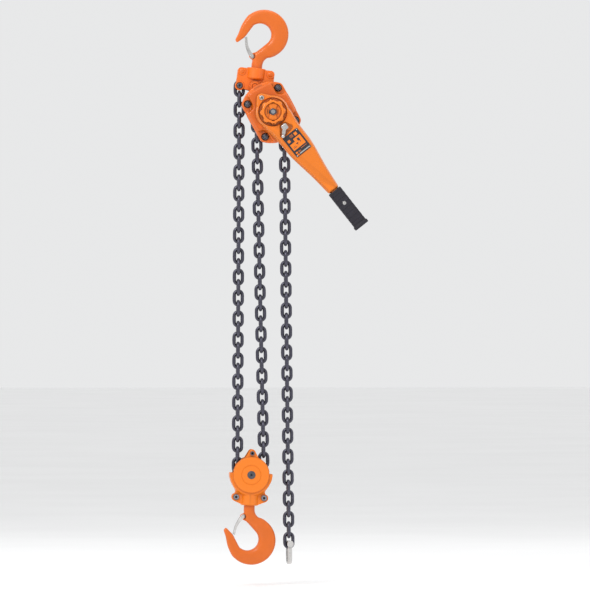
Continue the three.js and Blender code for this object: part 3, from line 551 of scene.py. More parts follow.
def half_of(solid, side):
    """The half of a solid that lies on one side of the chain plane."""
    low_y, high_y = span(side, SPLIT, FAR)
    return combine(solid, [cuboid((-FAR, low_y, -120), (FAR, high_y, 20))], "INTERSECT")


def piece(name, obj, matrix, body, slot, nodes=(), bevel=0.0, angle=35.0):
    """Finishes a shape: into the row frame, edges eased, smooth shading, the material of its slot, and its body.
    """
    obj.name = name
    if bevel:
        modifier = obj.modifiers.new("edges", "BEVEL")
        modifier.width = bevel
        modifier.segments = 2
        modifier.limit_method = "ANGLE"
        modifier.angle_limit = radians(angle)
        apply_modifiers(obj)
    obj.data.name = name
    obj.data.transform(matrix)
    obj.data.shade_smooth()
    obj.data.set_sharp_from_angle(angle=radians(angle))
    obj.data.materials.clear()
    obj.data.materials.append(MATERIALS[slot])
    modifier = obj.modifiers.new("normals", "WEIGHTED_NORMAL")
    modifier.keep_sharp = True
    modifier.weight = 80
    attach(obj, body)
    if nodes:
        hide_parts(*nodes)
    return obj


# ---- camera, light and floor ----

VIEW_TARGET = Vector((0.1005, 0.0, -0.7785))
VIEW_AZIMUTH = radians(-4.2)
VIEW_WIDTH = 1.693
LENS, SENSOR = 400.0, 36.0

camera = in_scene(bpy.data.objects.new("camera", bpy.data.cameras.new("camera")))
camera.data.lens = LENS
camera.data.sensor_width = SENSOR
camera.data.clip_end = 100
back = Vector((sin(VIEW_AZIMUTH), -cos(VIEW_AZIMUTH), 0.0))
camera.location = VIEW_TARGET + back * (VIEW_WIDTH * LENS / SENSOR)
camera.rotation_euler = (-back).to_track_quat("-Z", "Y").to_euler()
bpy.context.scene.camera = camera
bpy.context.scene.view_settings.view_transform = "Standard"


def area_light(name, location, size, power, colour=(1, 1, 1)):
    data = bpy.data.lights.new(name, "AREA")
    data.shape = "RECTANGLE"
    data.size, data.size_y = size
    data.energy = power
    data.color = colour
    lamp = in_scene(bpy.data.objects.new(name, data))
    lamp.location = location
    lamp.rotation_euler = (VIEW_TARGET - Vector(location)).to_track_quat("-Z", "Y").to_euler()
    lamp.visible_camera = False


area_light("key", (-2.2, -3.2, 1.9), (1.6, 2.2), 92)
area_light("fill", (3.0, -2.6, -0.2), (2.0, 2.6), 9)
area_light("rim_left", (-2.6, 2.4, 0.6), (1.4, 2.6), 14)
area_light("rim_right", (2.4, 2.8, 1.0), (1.4, 2.6), 10)
area_light("top", (0.2, -0.2, 2.6), (2.2, 2.2), 25)

world = bpy.data.worlds.new("studio")
world.use_nodes = True
world.node_tree.nodes["Background"].inputs["Color"].default_value = (0.96, 0.965, 0.97, 1)
world.node_tree.nodes["Background"].inputs["Strength"].default_value = 0.84
bpy.context.scene.world = world

FLOOR_DROP = 0.06
floor_z = CAD_BOX[0].z - FLOOR_DROP
floor = layers([([(-40, -40), (40, -40), (40, 40), (-40, 40)], y) for y in (0.0, 0.02)])
floor.data.transform(Matrix.Translation((0, 0, floor_z)) @ Matrix.Rotation(-pi / 2, 4, "X"))
floor.name = "studio_floor"
floor_nodes = Nodes("floor_pale")
floor_nodes.set(Roughness=0.75)
floor_nodes.colour(floor_nodes.ramp(floor_nodes.noise(1.5, 2),
                                    [(0.3, (0.93, 0.93, 0.93)), (0.7, (0.96, 0.96, 0.96))]))
floor.data.materials.append(floor_nodes.material)


# ---- load chain ----

def link_path():
    """The centreline of one link in its own plane, [across, along], once round."""
    bend = (LINK_WIDTH - WIRE) / 2
    half = LINK_LENGTH / 2 - WIRE / 2 - bend
    path = []
    for i in range(11):
        path.append(polar(bend, 180 * i / 10, (0, half)))
    path.append((-bend, 0.0))
    for i in range(11):
        path.append(polar(bend, 180 + 180 * i / 10, (0, -half)))
    path.append((bend, 0.0))
    return path


def link_mesh():
    """One link's points and faces; the weld stands a little proud on one leg."""
    path = link_path()
    weld = [1.0] * len(path)
    weld[-1] = 1.07
    obj = wire_loop([(x, 0, z) for x, z in path], [WIRE / 2 * w for w in weld])
    points = np.array([v.co for v in obj.data.vertices])
    faces = [tuple(p.vertices) for p in obj.data.polygons]
    bpy.data.objects.remove(obj)
    return points, faces


LINK_POINTS, LINK_FACES = link_mesh()


def chain_piece(name, links, body, node):
    """Interlocking links as one object. A link is (x, z, direction in degrees from up, face-on)."""
    points, faces = [], []
    for x, z, degrees, face_on in links:
        turn = np.eye(3) if face_on else np.array([[0, -1, 0], [1, 0, 0], [0, 0, 1.0]])
        c, s = cos(radians(degrees)), sin(radians(degrees))
        tilt = np.array([[c, 0, s], [0, 1, 0], [-s, 0, c]])
        start = len(points)
        points += list(LINK_POINTS @ turn.T @ tilt.T + np.array([x, 0, z]))
        faces += [tuple(start + i for i in f) for f in LINK_FACES]
    return piece(name, raw_object(points, faces), Matrix.Scale(MM, 4), body, "chain_steel", [node], angle=60)


def straight_links(start, end, first, pitch, count, face_on_first):
    """Links along a line: the first one's centre lies at a distance from the start."""
    length = dist(start, end)
    ux, uz = (end[0] - start[0]) / length, (end[1] - start[1]) / length
    degrees = in_degrees(atan2(ux, uz))
    links = []
    for i in range(count):
        s = first + pitch * i
        links.append((start[0] + ux * s, start[1] + uz * s, degrees, (i % 2 == 0) == face_on_first))
    return links


def wrapped_links(centre, pitch_r, start_angle, step, count, face_on_first):
    """Links on a pocket wheel, their joints at equal angles on the pitch circle."""
    links = []
    middle_r = pitch_r * cos(radians(step / 2))
    for i in range(count):
        angle = start_angle + step * (i + 0.5)
        x, z = polar(middle_r, angle, centre)
        links.append((x, z, -angle, (i % 2 == 0) == face_on_first))
    return links


PITCH = 30.0
FALL_LINKS, MIDDLE_LINKS, TAIL_LINKS = 37, 36, 42
FIRST_LINK, LAST_JOINT = 9.0, 12.2
MIDDLE_FIRST, MIDDLE_PITCH = 12.0, 30.077
TAIL_PITCH = 29.94
left_end = joint_at("block_level")
right_end = (2 * BLOCK_AT[0] - left_end[0], left_end[1])
middle_top = joint_at("middle_link_swing")
tail_top = joint_at("tail_swing")
tail_end = beyond(STOP_AT, in_degrees(atan2(tail_top[0] - STOP_AT[0], tail_top[1] - STOP_AT[1])), (0, -4.6))

left_span = dist(ANCHOR_AT, left_end) - LAST_JOINT - PITCH / 2 - FIRST_LINK
left_links = straight_links(ANCHOR_AT, left_end, FIRST_LINK, left_span / (FALL_LINKS - 1), FALL_LINKS, True)
chain_piece("left_fall_links", left_links, "left_fall", "left_fall_chain")

middle_links = straight_links(right_end, middle_top, MIDDLE_FIRST, MIDDLE_PITCH, MIDDLE_LINKS, False)
chain_piece("middle_fall_links", middle_links[:-1], "middle_fall", "middle_fall_chain")
chain_piece("middle_fall_last_link", middle_links[-1:], "middle_link", "middle_fall_top_link")

tail_first = dist(tail_top, tail_end) - PITCH / 2 - TAIL_PITCH * (TAIL_LINKS - 1)
tail_links = straight_links(tail_top, tail_end, tail_first, TAIL_PITCH, TAIL_LINKS, False)
chain_piece("tail_links", tail_links, "tail", "tail_chain")

idler_start, idler_end = 162.0, 356.0
idler_links = wrapped_links(BLOCK_AT, IDLER_PITCH_R, idler_start, (idler_end - idler_start) / 4, 4, False)
chain_piece("idler_links", idler_links, "block", "idler_sheave_chain")

load_start, load_end = 163.2, 24.7
load_links = wrapped_links(MAIN, SHEAVE_PITCH_R, load_start, (load_end - load_start) / 3, 3, True)
chain_piece("load_sheave_links", load_links, "head", "load_sheave_chain")


# ---- hooks ----

def back_point(degrees):
    """Where a ray from the bowl's centre meets the hook's outer circle."""
    dx, dz = polar(1, degrees)
    ox, oz = BOWL_X - BACK_X, -BACK_Z
    along = ox * dx + oz * dz
    reach = -along + sqrt(along * along - (ox * ox + oz * oz) + BACK_R ** 2)
    return BOWL_X + reach * dx, reach * dz


def hook_stations():
    """(inner point, outer point, half thickness) from the neck, round the bowl, to the tip."""
    stations = [
        ((-NECK_R, NECK_TOP), (NECK_R, NECK_TOP), NECK_R),
        ((-NECK_R, 90.0), (NECK_R, 90.0), NECK_R),
        ((-NECK_R, 83.0), (15.9, 83.5), 15.4),
        ((-14.6, 72.0), (18.5, 74.0), 15.2),
        ((-13.2, 57.0), (26.5, 64.8), 16.0),
        ((-2.0, 45.9), (34.5, 62.4), 16.5),
        ((9.1, 34.7), (41.9, 59.2), 17.0),
    ]
    for angle in np.arange(47, -140.1, -12):
        dx, dz = polar(BOWL_R, angle)
        stations.append(((BOWL_X + dx, dz), back_point(angle), 17.0 - 0.015 * abs(angle + 45)))
    stations += [
        ((-33.7, -5.9), (-57.5, -21.5), 13.2),
        ((-43.4, 10.7), (-63.6, 2.5), 10.6),
        ((-54.0, 21.5), (-68.0, 15.0), 8.2),
        ((-60.8, 27.8), (-70.2, 21.8), 6.4),
        ((-63.6, 29.6), (-69.6, 25.0), 4.6),
        ((-65.6, 29.8), (-68.2, 27.6), 2.2),
    ]
    return stations


def smooth_rows(rows, count):
    """Catmull-Rom through rows of numbers, evenly in index."""
    rows = np.array(rows, float)
    padded = np.vstack([2 * rows[0] - rows[1], rows, 2 * rows[-1] - rows[-2]])
    made = []
    for t in np.linspace(0, len(rows) - 1, count):
        i = min(int(t), len(rows) - 2)
        f = t - i
        a, b, c, d = padded[i:i + 4]
        made.append(0.5 * (2 * b + (c - a) * f + (2 * a - 5 * b + 4 * c - d) * f ** 2
                           + (3 * b - a - 3 * c + d) * f ** 3))
    return np.array(made)


def hook_solid(shank_length):
    rows = smooth_rows([[*inner, *outer, depth] for inner, outer, depth in hook_stations()], 110)
    sides = 40
    rings = []
    for ix, iz, ox, oz, depth in rows:
        flat = 0.5 + 0.5 * min(1.0, max(0.0, (iz - 70) / 20))
        power = 0.62 + 0.38 * max(0.0, min(1.0, (flat - 0.5) * 2))
        ring = []
        for i in range(sides):
            c, s = cos(2 * pi * i / sides), sin(2 * pi * i / sides)
            across = copysign(abs(c) ** power, c)
            through = copysign(abs(s) ** power, s)
            ring.append(((ix + ox) / 2 + (ox - ix) / 2 * across, depth * through,
                         (iz + oz) / 2 + (oz - iz) / 2 * across))
        rings.append(ring)
    body = loft(rings)
    px, pz = LATCH_PIVOT
    lug = slab(rounded(around([(px, pz, 7.6), (-8, 72, 6), (-6, 56, 5)]), 8, 96), -LUG_HALF, LUG_HALF, 1.2)
    shank_end = NECK_TOP + shank_length
    shank = lathe([(0.0, 90), (SHANK_R, 90), (SHANK_R, shank_end), (0.0, shank_end)], 48, "Z")
    pocket_r, bore_r = 9.8, 3.2
    pockets = [bar(px, pz, pocket_r, side * (LUG_HALF + 0.3), side * 19, sides=32) for side in (-1, 1)]
    return cut(join(body, lug, shank), *pockets, bar(px, pz, bore_r, -20, 20, sides=24))


def latch_solid():
    """Pressed channel: a curved web towards the tip, two cheeks that straddle the lug, and its pin."""
    px, pz = LATCH_PIVOT
    ex, ez = LATCH_END
    length = hypot(ex - px, ez - pz)
    ux, uz = (ex - px) / length, (ez - pz) / length
    nx, nz = uz, -ux
    wall, bow_out = 1.7, 5.0
    rings = []
    for t in np.linspace(-0.13, 1.03, 26):
        bow = bow_out * sin(pi * min(1, max(0, t)))
        wide = 3.2 + 2.6 * (1 - t) ** 2 if t > 0 else 5.8 * sqrt(max(0.03, 1 - (t / 0.135) ** 2))
        half = LATCH_HALF - 2.6 * max(0.0, t)
        cx, cz = px + ux * length * t + nx * bow, pz + uz * length * t + nz * bow
        profile = [(-wide, -half), (-wide, half), (wide, half), (wide, half - wall),
                   (-wide + wall, half - wall), (-wide + wall, wall - half), (wide, wall - half),
                   (wide, -half)]
        rings.append([(cx + nx * a, y, cz + nz * a) for a, y in profile])
    channel = loft(rings)
    pin = bar(px, pz, 2.9, -LATCH_HALF - 1.4, LATCH_HALF + 1.4, 0.5, 24)
    heads = [bar(px, pz, 4.4, side * (LATCH_HALF + 0.1), side * (LATCH_HALF + 2.0), 0.7, 24)
             for side in (-1, 1)]
    return merged([channel, pin, *heads])


piece("top_hook_forging", hook_solid(34), TOP_HOOK, "top_hook", "hook_paint", ["top_hook"], angle=40)
piece("bottom_hook_forging", hook_solid(28), LOW_HOOK, "bottom_hook", "hook_paint", ["bottom_hook"],
      angle=40)
piece("top_latch_sheet", latch_solid(), TOP_HOOK, "top_latch", "zinc", ["top_latch"], bevel=0.35)
piece("bottom_latch_sheet", latch_solid(), LOW_HOOK, "bottom_latch", "zinc", ["bottom_latch"], bevel=0.35)

# ---- top suspension ----

ANCHOR = (-43.0, -56.0)
SUSPENSION = (0.0, -54.0)
YOKE_RIVET = (41.5, -14.4)
YOKE_HALF, YOKE_COLLAR = 14.0, 21.4
YOKE_BOSS_R, YOKE_BOSS_HEIGHT = 27.0, 34.0
SUSPENSION_R, SUSPENSION_BORE = 9.5, 9.8
ANCHOR_R, ANCHOR_BORE = 5.8, 6.1
RIVET_R, RIVET_BORE = 4.9, 5.3


def headed_pin(x, z, r, head_r, reach, height, head_sides=48, edge=0.8):
    """A pin along Y with a round or hexagonal head on each side."""
    stem = bar(x, z, r, -reach - 0.5, reach + 0.5, sides=32)
    outline = resampled(circle(x, z, head_r, head_sides), max(48, head_sides))
    heads = [slab(outline, *span(side, reach, reach + height), edge) for side in (-1, 1)]
    return join(stem, *heads)


def yoke_half(side):
    plate_outline = around([(-43, -13, 10), (43, -13, 10), (-43, -52, 10.5), (*SUSPENSION, 15.5),
                            (43, -36, 10)])
    plate = slab(resampled(plate_outline, 200), *span(side, SPLIT, YOKE_HALF - 1.5), 2.5)
    pads = [
        bar(*ANCHOR, 13.4, *span(side, SPLIT, YOKE_HALF + 1), 1.4),
        bar(*SUSPENSION, 15.5, *span(side, SPLIT, YOKE_COLLAR), 1.2),
    ]
    rivets = [(i * YOKE_RIVET[0], YOKE_RIVET[1]) for i in (1, -1)]
    pads += [bar(*rivet, 11.4, *span(side, SPLIT, YOKE_HALF + 0.8), 1.0) for rivet in rivets]
    r, low, soft = YOKE_BOSS_R, -YOKE_BOSS_HEIGHT, 7.0
    bottom = [(r - soft + soft * sin(t), low + soft - soft * cos(t)) for t in np.linspace(0, pi / 2, 6)]
    boss = lathe([(0.0, low), *bottom, (r, -1.8), (r - 1.4, -0.4), (0.0, -0.4)], 96, "Z")
    boss = half_of(boss, side)
    web = slab(resampled(around([(-14, -24, 10), (14, -24, 10), (0, -44, 12)]), 120),
               *span(side, 1, YOKE_HALF + 0.2), 1.5)
    body = join(plate, *pads, boss, web)
    ax, az = ANCHOR
    y0, y1 = span(side, YOKE_HALF - 2, YOKE_HALF + 5)
    bores = [
        cuboid((ax - 22, -6.6, -80), (ax + 20, 6.6, az + 18)),
        lathe([(0.0, -35), (SHANK_R + 0.6, -35), (SHANK_R + 0.6, 2), (0.0, 2)], 48, "Z"),
        lathe([(0.0, -31), (19, -31), (19, -14), (0.0, -14)], 48, "Z"),
        hole(*SUSPENSION, SUSPENSION_BORE),
        hole(*ANCHOR, ANCHOR_BORE, 32),
        bar(*ANCHOR, 10.0, y0, y1),
    ]
    return cut(body, *bores, *[hole(*rivet, RIVET_BORE, 32) for rivet in rivets])


def domed_pin(x, z, r, head_r, reach, dome):
    """A riveted pin: a low dome each side."""
    profile = [(0.0, -reach - dome)]
    for t in np.linspace(0.15, 1, 7):
        profile.append((head_r * sin(t * pi / 2), -reach - dome * cos(t * pi / 2)))
    profile += [(r, -reach), (r, reach)]
    profile += [(pr, -py) for pr, py in profile[7:0:-1]] + [(0.0, reach + dome)]
    return shifted(lathe(profile, 48), x, z)


for name, side in (("front", -1), ("rear", 1)):
    piece(f"yoke_pressing_{name}", yoke_half(side), YOKE, "yoke", "hook_paint", [f"yoke_{name}"], bevel=0.5,
          angle=40)
for name, side in (("left", -1), ("right", 1)):
    rivet = domed_pin(side * YOKE_RIVET[0], YOKE_RIVET[1], RIVET_R, 7.4, YOKE_HALF + 0.8, 3.4)
    piece(f"yoke_rivet_head_{name}", rivet, YOKE, "yoke", "hook_paint", [f"yoke_rivet_{name}"])

anchor_pin = headed_pin(*ANCHOR, ANCHOR_R, 8.4, YOKE_HALF - 1.8, 7, 6, 1.0)
anchor_pin = cut(anchor_pin, *[bar(*ANCHOR, 3.2, side * (YOKE_HALF + 3.4), side * 30) for side in (-1, 1)])
piece("chain_anchor_bolt", anchor_pin, YOKE, "yoke", "black_steel", ["chain_anchor_pin"], bevel=0.5)


# ---- head ----

STAYS = [(i * STAY[0], j * STAY[1]) for i, j in ((-1, 1), (1, 1), (1, -1), (-1, -1))]
STAY_R, STAY_BORE = 4.5, 4.8
BRAKE_RIM, BRAKE_FRONT = 58.0, 70.0
GEAR_RIM, GEAR_BACK, GEAR_INSET = 63.0, 75.0, 7.0
PIN_IN_HEAD = turned((PIN_AT[0] - MAIN[0], PIN_AT[1] - MAIN[1]), -HEAD_TILT)


def by_angle(radius, passes, count=240):
    """A closed outline from a radius for each angle, with its corners eased."""
    radii = np.array([radius(2 * pi * i / count) for i in range(count)])
    for _ in range(passes):
        radii = 0.5 * radii + 0.25 * (np.roll(radii, 1) + np.roll(radii, -1))
    return [polar(r, 360 * i / count) for i, r in enumerate(radii)]


def band(angle, half_x, half_z):
    """How far a rectangle reaches along an angle."""
    return min(half_x / max(1e-6, abs(cos(angle))), half_z / max(1e-6, abs(sin(angle))))


def cover_shape(less=0.0):
    return by_angle(lambda a: min(COVER_R - less, band(a, COVER_HALF - less, 200)), 6)


def bulge_shape(more=0.0):
    return by_angle(lambda a: max(band(a, 36, 76), band(a, 59, 30), 53) + more, 12)


def cover(rim, front, side, deep_r, less=0.0):
    """A pressed cover: flat rim, raised middle with sloping flanks, hollow, with pockets for the nuts."""
    edge = [(0, PLATE_OUT + 0.3), (0, rim - 3), (0.4, rim - 1.6), (1.4, rim - 0.5), (3, rim)]
    steps = [(cover_shape(less + more), y) for more, y in edge]
    flank = [(7.5, rim), (5.5, rim + 1), (2.0, front - 3.2), (0.6, front - 1.4), (-1.2, front - 0.4),
             (-3.5, front)]
    steps += [(bulge_shape(more - less), y) for more, y in flank]
    shell = layers([(outline, side * y) for outline, y in steps])
    bosses = [bar(x, z, 14.5, side * (PLATE_OUT + 0.3), side * (rim - 2), sides=40) for x, z in STAYS]
    room = cover_shape(less + COVER_WALL)
    shell = cut(shell, layers([(room, side * 10), (room, side * (rim - COVER_WALL))]),
                bar(0, 0, deep_r, side * 10, side * (front - COVER_WALL), sides=72))
    limit = cover_shape(less + 1)
    inside = [combine(boss, [layers([(limit, side * 10), (limit, side * 80)])], "INTERSECT")
              for boss in bosses]
    shell = join(shell, *inside)
    pockets = [bar(x, z, 11.6, side * (rim - 6), side * (front + 2), sides=40) for x, z in STAYS]
    bores = [bar(x, z, STAY_BORE, side * 10, side * (front + 2), sides=24) for x, z in STAYS]
    return cut(shell, *pockets, *bores)


brake_cover = cut(cover(BRAKE_RIM, BRAKE_FRONT, -1, 48), bar(0, 0, 22, -80, -40))
piece("brake_cover_pressing", brake_cover, HEAD, "head", "cover_paint", ["brake_cover"], bevel=0.5,
      angle=50)

gear_cover = cover(GEAR_RIM, GEAR_BACK, 1, 48, GEAR_INSET)
GEAR_CENTRES = 42.0
SHEAVE_BORE, GEAR_BORE = 24.3, 6.4
bearing_rings = [bar(0, z, r, 57, GEAR_BACK - 2, sides=40)
                 for z, r in ((0, 10.5), (GEAR_CENTRES, 9.5), (-GEAR_CENTRES, 9.5))]
bearing_bores = [bar(0, z, r, 50, GEAR_BACK - 5, sides=40)
                 for z, r in ((0, 7.4), (GEAR_CENTRES, 6.4), (-GEAR_CENTRES, 6.4))]
gear_cover = cut(join(gear_cover, *bearing_rings), *bearing_bores)
piece("gear_cover_pressing", gear_cover, HEAD, "head", "cover_paint", ["gear_cover"], bevel=0.5, angle=50)

for i, (x, z) in enumerate(STAYS):
    stud = bar(x, z, STAY_R, -BRAKE_RIM - 11, GEAR_RIM + 4, 1.4, 32)
    nut = slab(resampled(circle(x, z, 9.2, 6), 48), -BRAKE_RIM - 8, -BRAKE_RIM + 4.4, 1.8)
    washer = bar(x, z, 9.6, -BRAKE_RIM + 4.3, -BRAKE_RIM + 5.9, 0.4)
    head = slab(resampled(circle(x, z, 9.2, 6), 48), GEAR_RIM - 5, GEAR_RIM + 6.5, 1.2)
    piece(f"stay_stud_{i + 1}", join(stud, nut, washer, head), HEAD, "head", "black_steel",
          [f"stay_bolt_{i + 1}"], bevel=0.3)

PAWL_PIVOT_ANGLE, PAWL_PIVOT_R = 13.0, 54.6
plate_outline = around([(x, z, 11) for x, z in STAYS])
lug_outline = around([(*PIN_IN_HEAD, 15.5), (PIN_IN_HEAD[0] * 0.5, PIN_IN_HEAD[1] * 0.5, 24)])


def side_plate(side):
    depth = span(side, PLATE_IN, PLATE_OUT)
    plate = slab(resampled(plate_outline, 240), *depth, 0.8)
    plate = join(plate, slab(resampled(lug_outline, 160), *depth, 0.8))
    root, top = PLATE_OUT - 1, PLATE_OUT + 2.6
    cap = lathe(on_side(side, [(0.0, root), (12.5, root), (12.5, top - 1), (11.7, top), (9.4, top),
                               (9.0, top - 1.6), (7.6, top - 1.6), (7.2, top), (0.0, top)]), 72)
    cap = shifted(cap, *PIN_IN_HEAD)
    bores = [hole(0, 0, SHEAVE_BORE), bar(*PIN_IN_HEAD, SUSPENSION_BORE, *span(side, 0, PLATE_OUT - 0.6))]
    bores += [hole(x, z, STAY_BORE, 24) for x, z in STAYS]
    if side > 0:
        bores += [hole(0, z, GEAR_BORE, 32) for z in (GEAR_CENTRES, -GEAR_CENTRES)]
        return cut(join(plate, cap), *bores)
    posts = [bar(*polar(PAWL_PIVOT_R, PAWL_PIVOT_ANGLE + turn), 3.6, -46, -PLATE_OUT + 1, 0.5, 24)
             for turn in (0, 180)]
    return cut(join(plate, cap, *posts), *bores)


for name, side in (("front", -1), ("rear", 1)):
    piece(f"side_plate_{name}_fine", side_plate(side), HEAD, "head", "hook_paint", [f"side_plate_{name}"])
suspension_pin = bar(*SUSPENSION, SUSPENSION_R, -PLATE_OUT + 1, PLATE_OUT - 1, 1.2)
piece("suspension_pin_fine", suspension_pin, YOKE, "yoke", "bright_steel", ["suspension_pin"])


# ---- lever ----

LEVER_FRONT, LEVER_BACK = 105.0, 78.4
HOUSING_R, RECESS_R, RECESS_FLOOR = 47.0, 41.0, 97.0
SELECTOR_Z, SELECTOR_TIP = -55.0, (-20.0, -73.0)
SCREW_Z, SCREW_BORE = 51.0, 3.4
LEVER_SIDE = [(45, -30), (41, -52), (38.5, -75), (38, -100), (37.6, -126), (34, -158), (27, -201),
              (22.5, -235), (17.4, -286)]
GRIP_TOP, GRIP_END, GRIP_Y = -286.0, -414.0, -92.0
GRIP_WIDTH, GRIP_DEPTH = 41.0, 28.0
GRIP_RIVET_Z, GRIP_RIVET_BORE = -331.0, 3.6


def lever_outline():
    top = [polar(HOUSING_R + 0.8, a) for a in np.linspace(-25, 205, 60)]
    side = smooth_rows(LEVER_SIDE, 60)
    left = [(-x, z) for x, z in side]
    right = [(x, z) for x, z in side[::-1]]
    return rounded([*top, *left, *right], 16, 420)


def lever_arm():
    shell = stepped(lever_outline(), [
        (0.8, -LEVER_BACK), (0, -LEVER_BACK - 1), (0, -93), (0.6, -95.5), (4.2, -102.4), (5.0, -103.8),
        (6.2, -104.7), (7.6, -105)])
    boss = resampled(around([(0, SCREW_Z, 12.5), (0, 30, 26)]), 160)
    boss = stepped(boss, [(0, -LEVER_BACK), (0, -101), (1.2, -103.6), (3.0, -104.8), (4.4, -105)])
    stub = cuboid((-9, GRIP_Y - 7, -404), (9, GRIP_Y + 7, -280))
    pocket = resampled(around([(0, SELECTOR_Z, 13.4), (-18.5, -70, 7), (13, -65, 7.5)]), 120)
    pocket = stepped(pocket, [(1.5, -101.5), (0, -103), (-1.8, -106)])
    hollows = [
        discs([(RECESS_R - 1.2, -RECESS_FLOOR), (RECESS_R - 0.2, -RECESS_FLOOR - 1.5), (RECESS_R, -103.6),
               (RECESS_R + 1.8, -105.6)]),
        bar(0, 0, 17, -110, -70),
        slab(around([(0, 0, 34), (0, SELECTOR_Z, 28)]), -93, -70),
        slab([(-31, -88), (31, -88), (29, -150), (17, -225), (-17, -225), (-29, -150)][::-1], -101, -70),
        bar(0, SELECTOR_Z, 5.4, -110, -70, sides=32),
        bar(0, SCREW_Z, SCREW_BORE, -110, -70, sides=24),
        bar(0, GRIP_RIVET_Z, GRIP_RIVET_BORE, GRIP_Y - 30, GRIP_Y + 30, sides=24),
        pocket,
    ]
    return cut(join(shell, boss, stub), *hollows)


piece("lever_arm_casting", lever_arm(), LEVER, "lever", "lever_paint", ["lever_arm"], bevel=0.4, angle=50)

back_outline = around([(0, 0, HOUSING_R), (0, SCREW_Z, 12), (-25, -100, 12), (25, -100, 12)])
back_outline = resampled(back_outline, 200)
back_plate = cut(slab(back_outline, -LEVER_BACK + 0.3, -74, 0.8), bar(0, 0, 17, -90, -60),
                 bar(0, SCREW_Z, SCREW_BORE, -90, -60))
piece("lever_back_plate_fine", back_plate, LEVER, "lever", "lever_paint", ["lever_back_plate"])

screw = join(bar(0, SCREW_Z, 3, -106, -74, sides=24), bar(0, SCREW_Z, 6.6, -109, -105.2, 1.2))
cross = [cuboid((-a, -110, SCREW_Z - b), (a, -105.6, SCREW_Z + b)) for a, b in ((4.8, 1.0), (1.0, 4.8))]
piece("lever_screw_fine", cut(screw, *cross), LEVER, "lever", "zinc", ["lever_screw"])

PLATE_Z, PLATE_WIDE, PLATE_HIGH = -112.0, 52.0, 68.0
PLATE_FACE = -LEVER_FRONT - 1.3


def print_blocks(blocks, proud=0.25):
    """Blocks (left, low, right, high) on the name plate, as thin raised panels."""
    low_y, high_y = PLATE_FACE - proud, PLATE_FACE + 0.05
    return merged([cuboid((u0, low_y, PLATE_Z + v0), (u1, high_y, PLATE_Z + v1))
                   for u0, v0, u1, v1 in blocks])


corner = 2.0
plate_corners = [(i * (PLATE_WIDE / 2 - corner), PLATE_Z + j * (PLATE_HIGH / 2 - corner), corner)
                 for i in (-1, 1) for j in (-1, 1)]
name_plate = slab(resampled(around(plate_corners), 160), PLATE_FACE, -LEVER_FRONT - 0.3, 0.3)
piece("name_plate_fine", name_plate, LEVER, "lever", "name_plate", ["name_plate"])

printed = [
    (-21, -14, 21, 6), (-3, 6, 21, 15), (8, 19, 17, 28), (-20, 12, -12, 20), (-21, -25, -15, -20),
    (-13, -25, -4, -24), (-13, -22, -4, -21), (0, -19.5, 20, -18.5), (-21, -31.5, -14, -27.5),
    (-6, 24, 4, 25), (-6, 21, 4, 22), (-6, 27, 4, 28),
]
piece("name_plate_print", print_blocks(printed), LEVER, "lever", "lever_paint")
symbols = [(6, 2, 13, 10), (10, -4, 12, 2), (-4, -2, 4, 0), (-1, -6, 1, 0), (-16, -9, -6, -7.5),
           (-16, -5, -8, -4)]
piece("name_plate_symbols", print_blocks(symbols, 0.4), LEVER, "lever", "name_plate")
bright_marks = [print_blocks([(-12, -31, 21, -27.8)])]
for i, j in ((-1, -1), (1, -1), (1, 1)):
    rivet = bar(i * 22.5, PLATE_Z + j * 30.5, 2.0, PLATE_FACE - 0.9, PLATE_FACE + 0.2, 0.5, 24)
    bright_marks.append(rivet)
piece("name_plate_rivets", merged(bright_marks), LEVER, "lever", "zinc")


def grip_ring(more, z, count=72):
    """A rounded rectangle round the grip, larger than its plain section by a width."""
    half_x, half_y = (GRIP_WIDTH + more) / 2, (GRIP_DEPTH + more) / 2
    ring = []
    for i in range(count):
        c, s = cos(2 * pi * (i + 0.5) / count), sin(2 * pi * (i + 0.5) / count)
        ring.append((half_x * copysign(abs(c) ** 0.42, c), GRIP_Y + half_y * copysign(abs(s) ** 0.42, s), z))
    return ring


def grip_solid():
    """Moulded rubber sleeve: rounded mouth, cross grooves every 15 mm, and a flange at its end."""
    grooves_at = [float(z) for z in np.arange(GRIP_TOP - 14, GRIP_END + 16, -15)]
    steps = [(-3, GRIP_TOP), (-0.8, GRIP_TOP - 1.2), (0, GRIP_TOP - 3)]
    for z in grooves_at:
        steps += [(0, z + 1.1), (-1.5, z + 0.5), (-1.5, z - 0.5), (0, z - 1.1)]
    flange = [(0, 11), (2, 9.4), (4.4, 8.2), (5, 7), (5, 2.4), (4, 0.9), (1.5, 0)]
    steps += [(more, GRIP_END + up) for more, up in flange]
    body = loft([grip_ring(*step) for step in steps])
    panel_outline = around([(i * 11.5, z, 3.5) for i in (-1, 1) for z in (GRIP_TOP - 10, GRIP_END + 18)])
    panels, grooves = [], []
    for side in (-1, 1):
        face = GRIP_Y + side * (GRIP_DEPTH / 2)
        panels.append(slab(resampled(panel_outline, 160), face - side, face + side * 0.9, 0.6))
        face += side * 0.9
        grooves += [cuboid((-16, face - 0.7, z - 0.5), (16, face + 0.7, z + 0.5)) for z in grooves_at]
    socket = cuboid((-9.4, GRIP_Y - 7.4, -405), (9.4, GRIP_Y + 7.4, -270))
    return cut(join(body, *panels), *grooves, socket,
               bar(0, GRIP_RIVET_Z, GRIP_RIVET_BORE, GRIP_Y - 30, GRIP_Y + 30, sides=24))


piece("grip_sleeve", grip_solid(), LEVER, "lever", "rubber", ["grip"], angle=40)
grip_rivet = headed_pin(0, GRIP_RIVET_Z, 3.2, 5.2, GRIP_DEPTH / 2 + 0.8, 1.6, edge=0.7)
piece("grip_rivet_fine", shifted(grip_rivet, 0, 0, GRIP_Y), LEVER, "lever", "zinc", ["grip_rivet"])

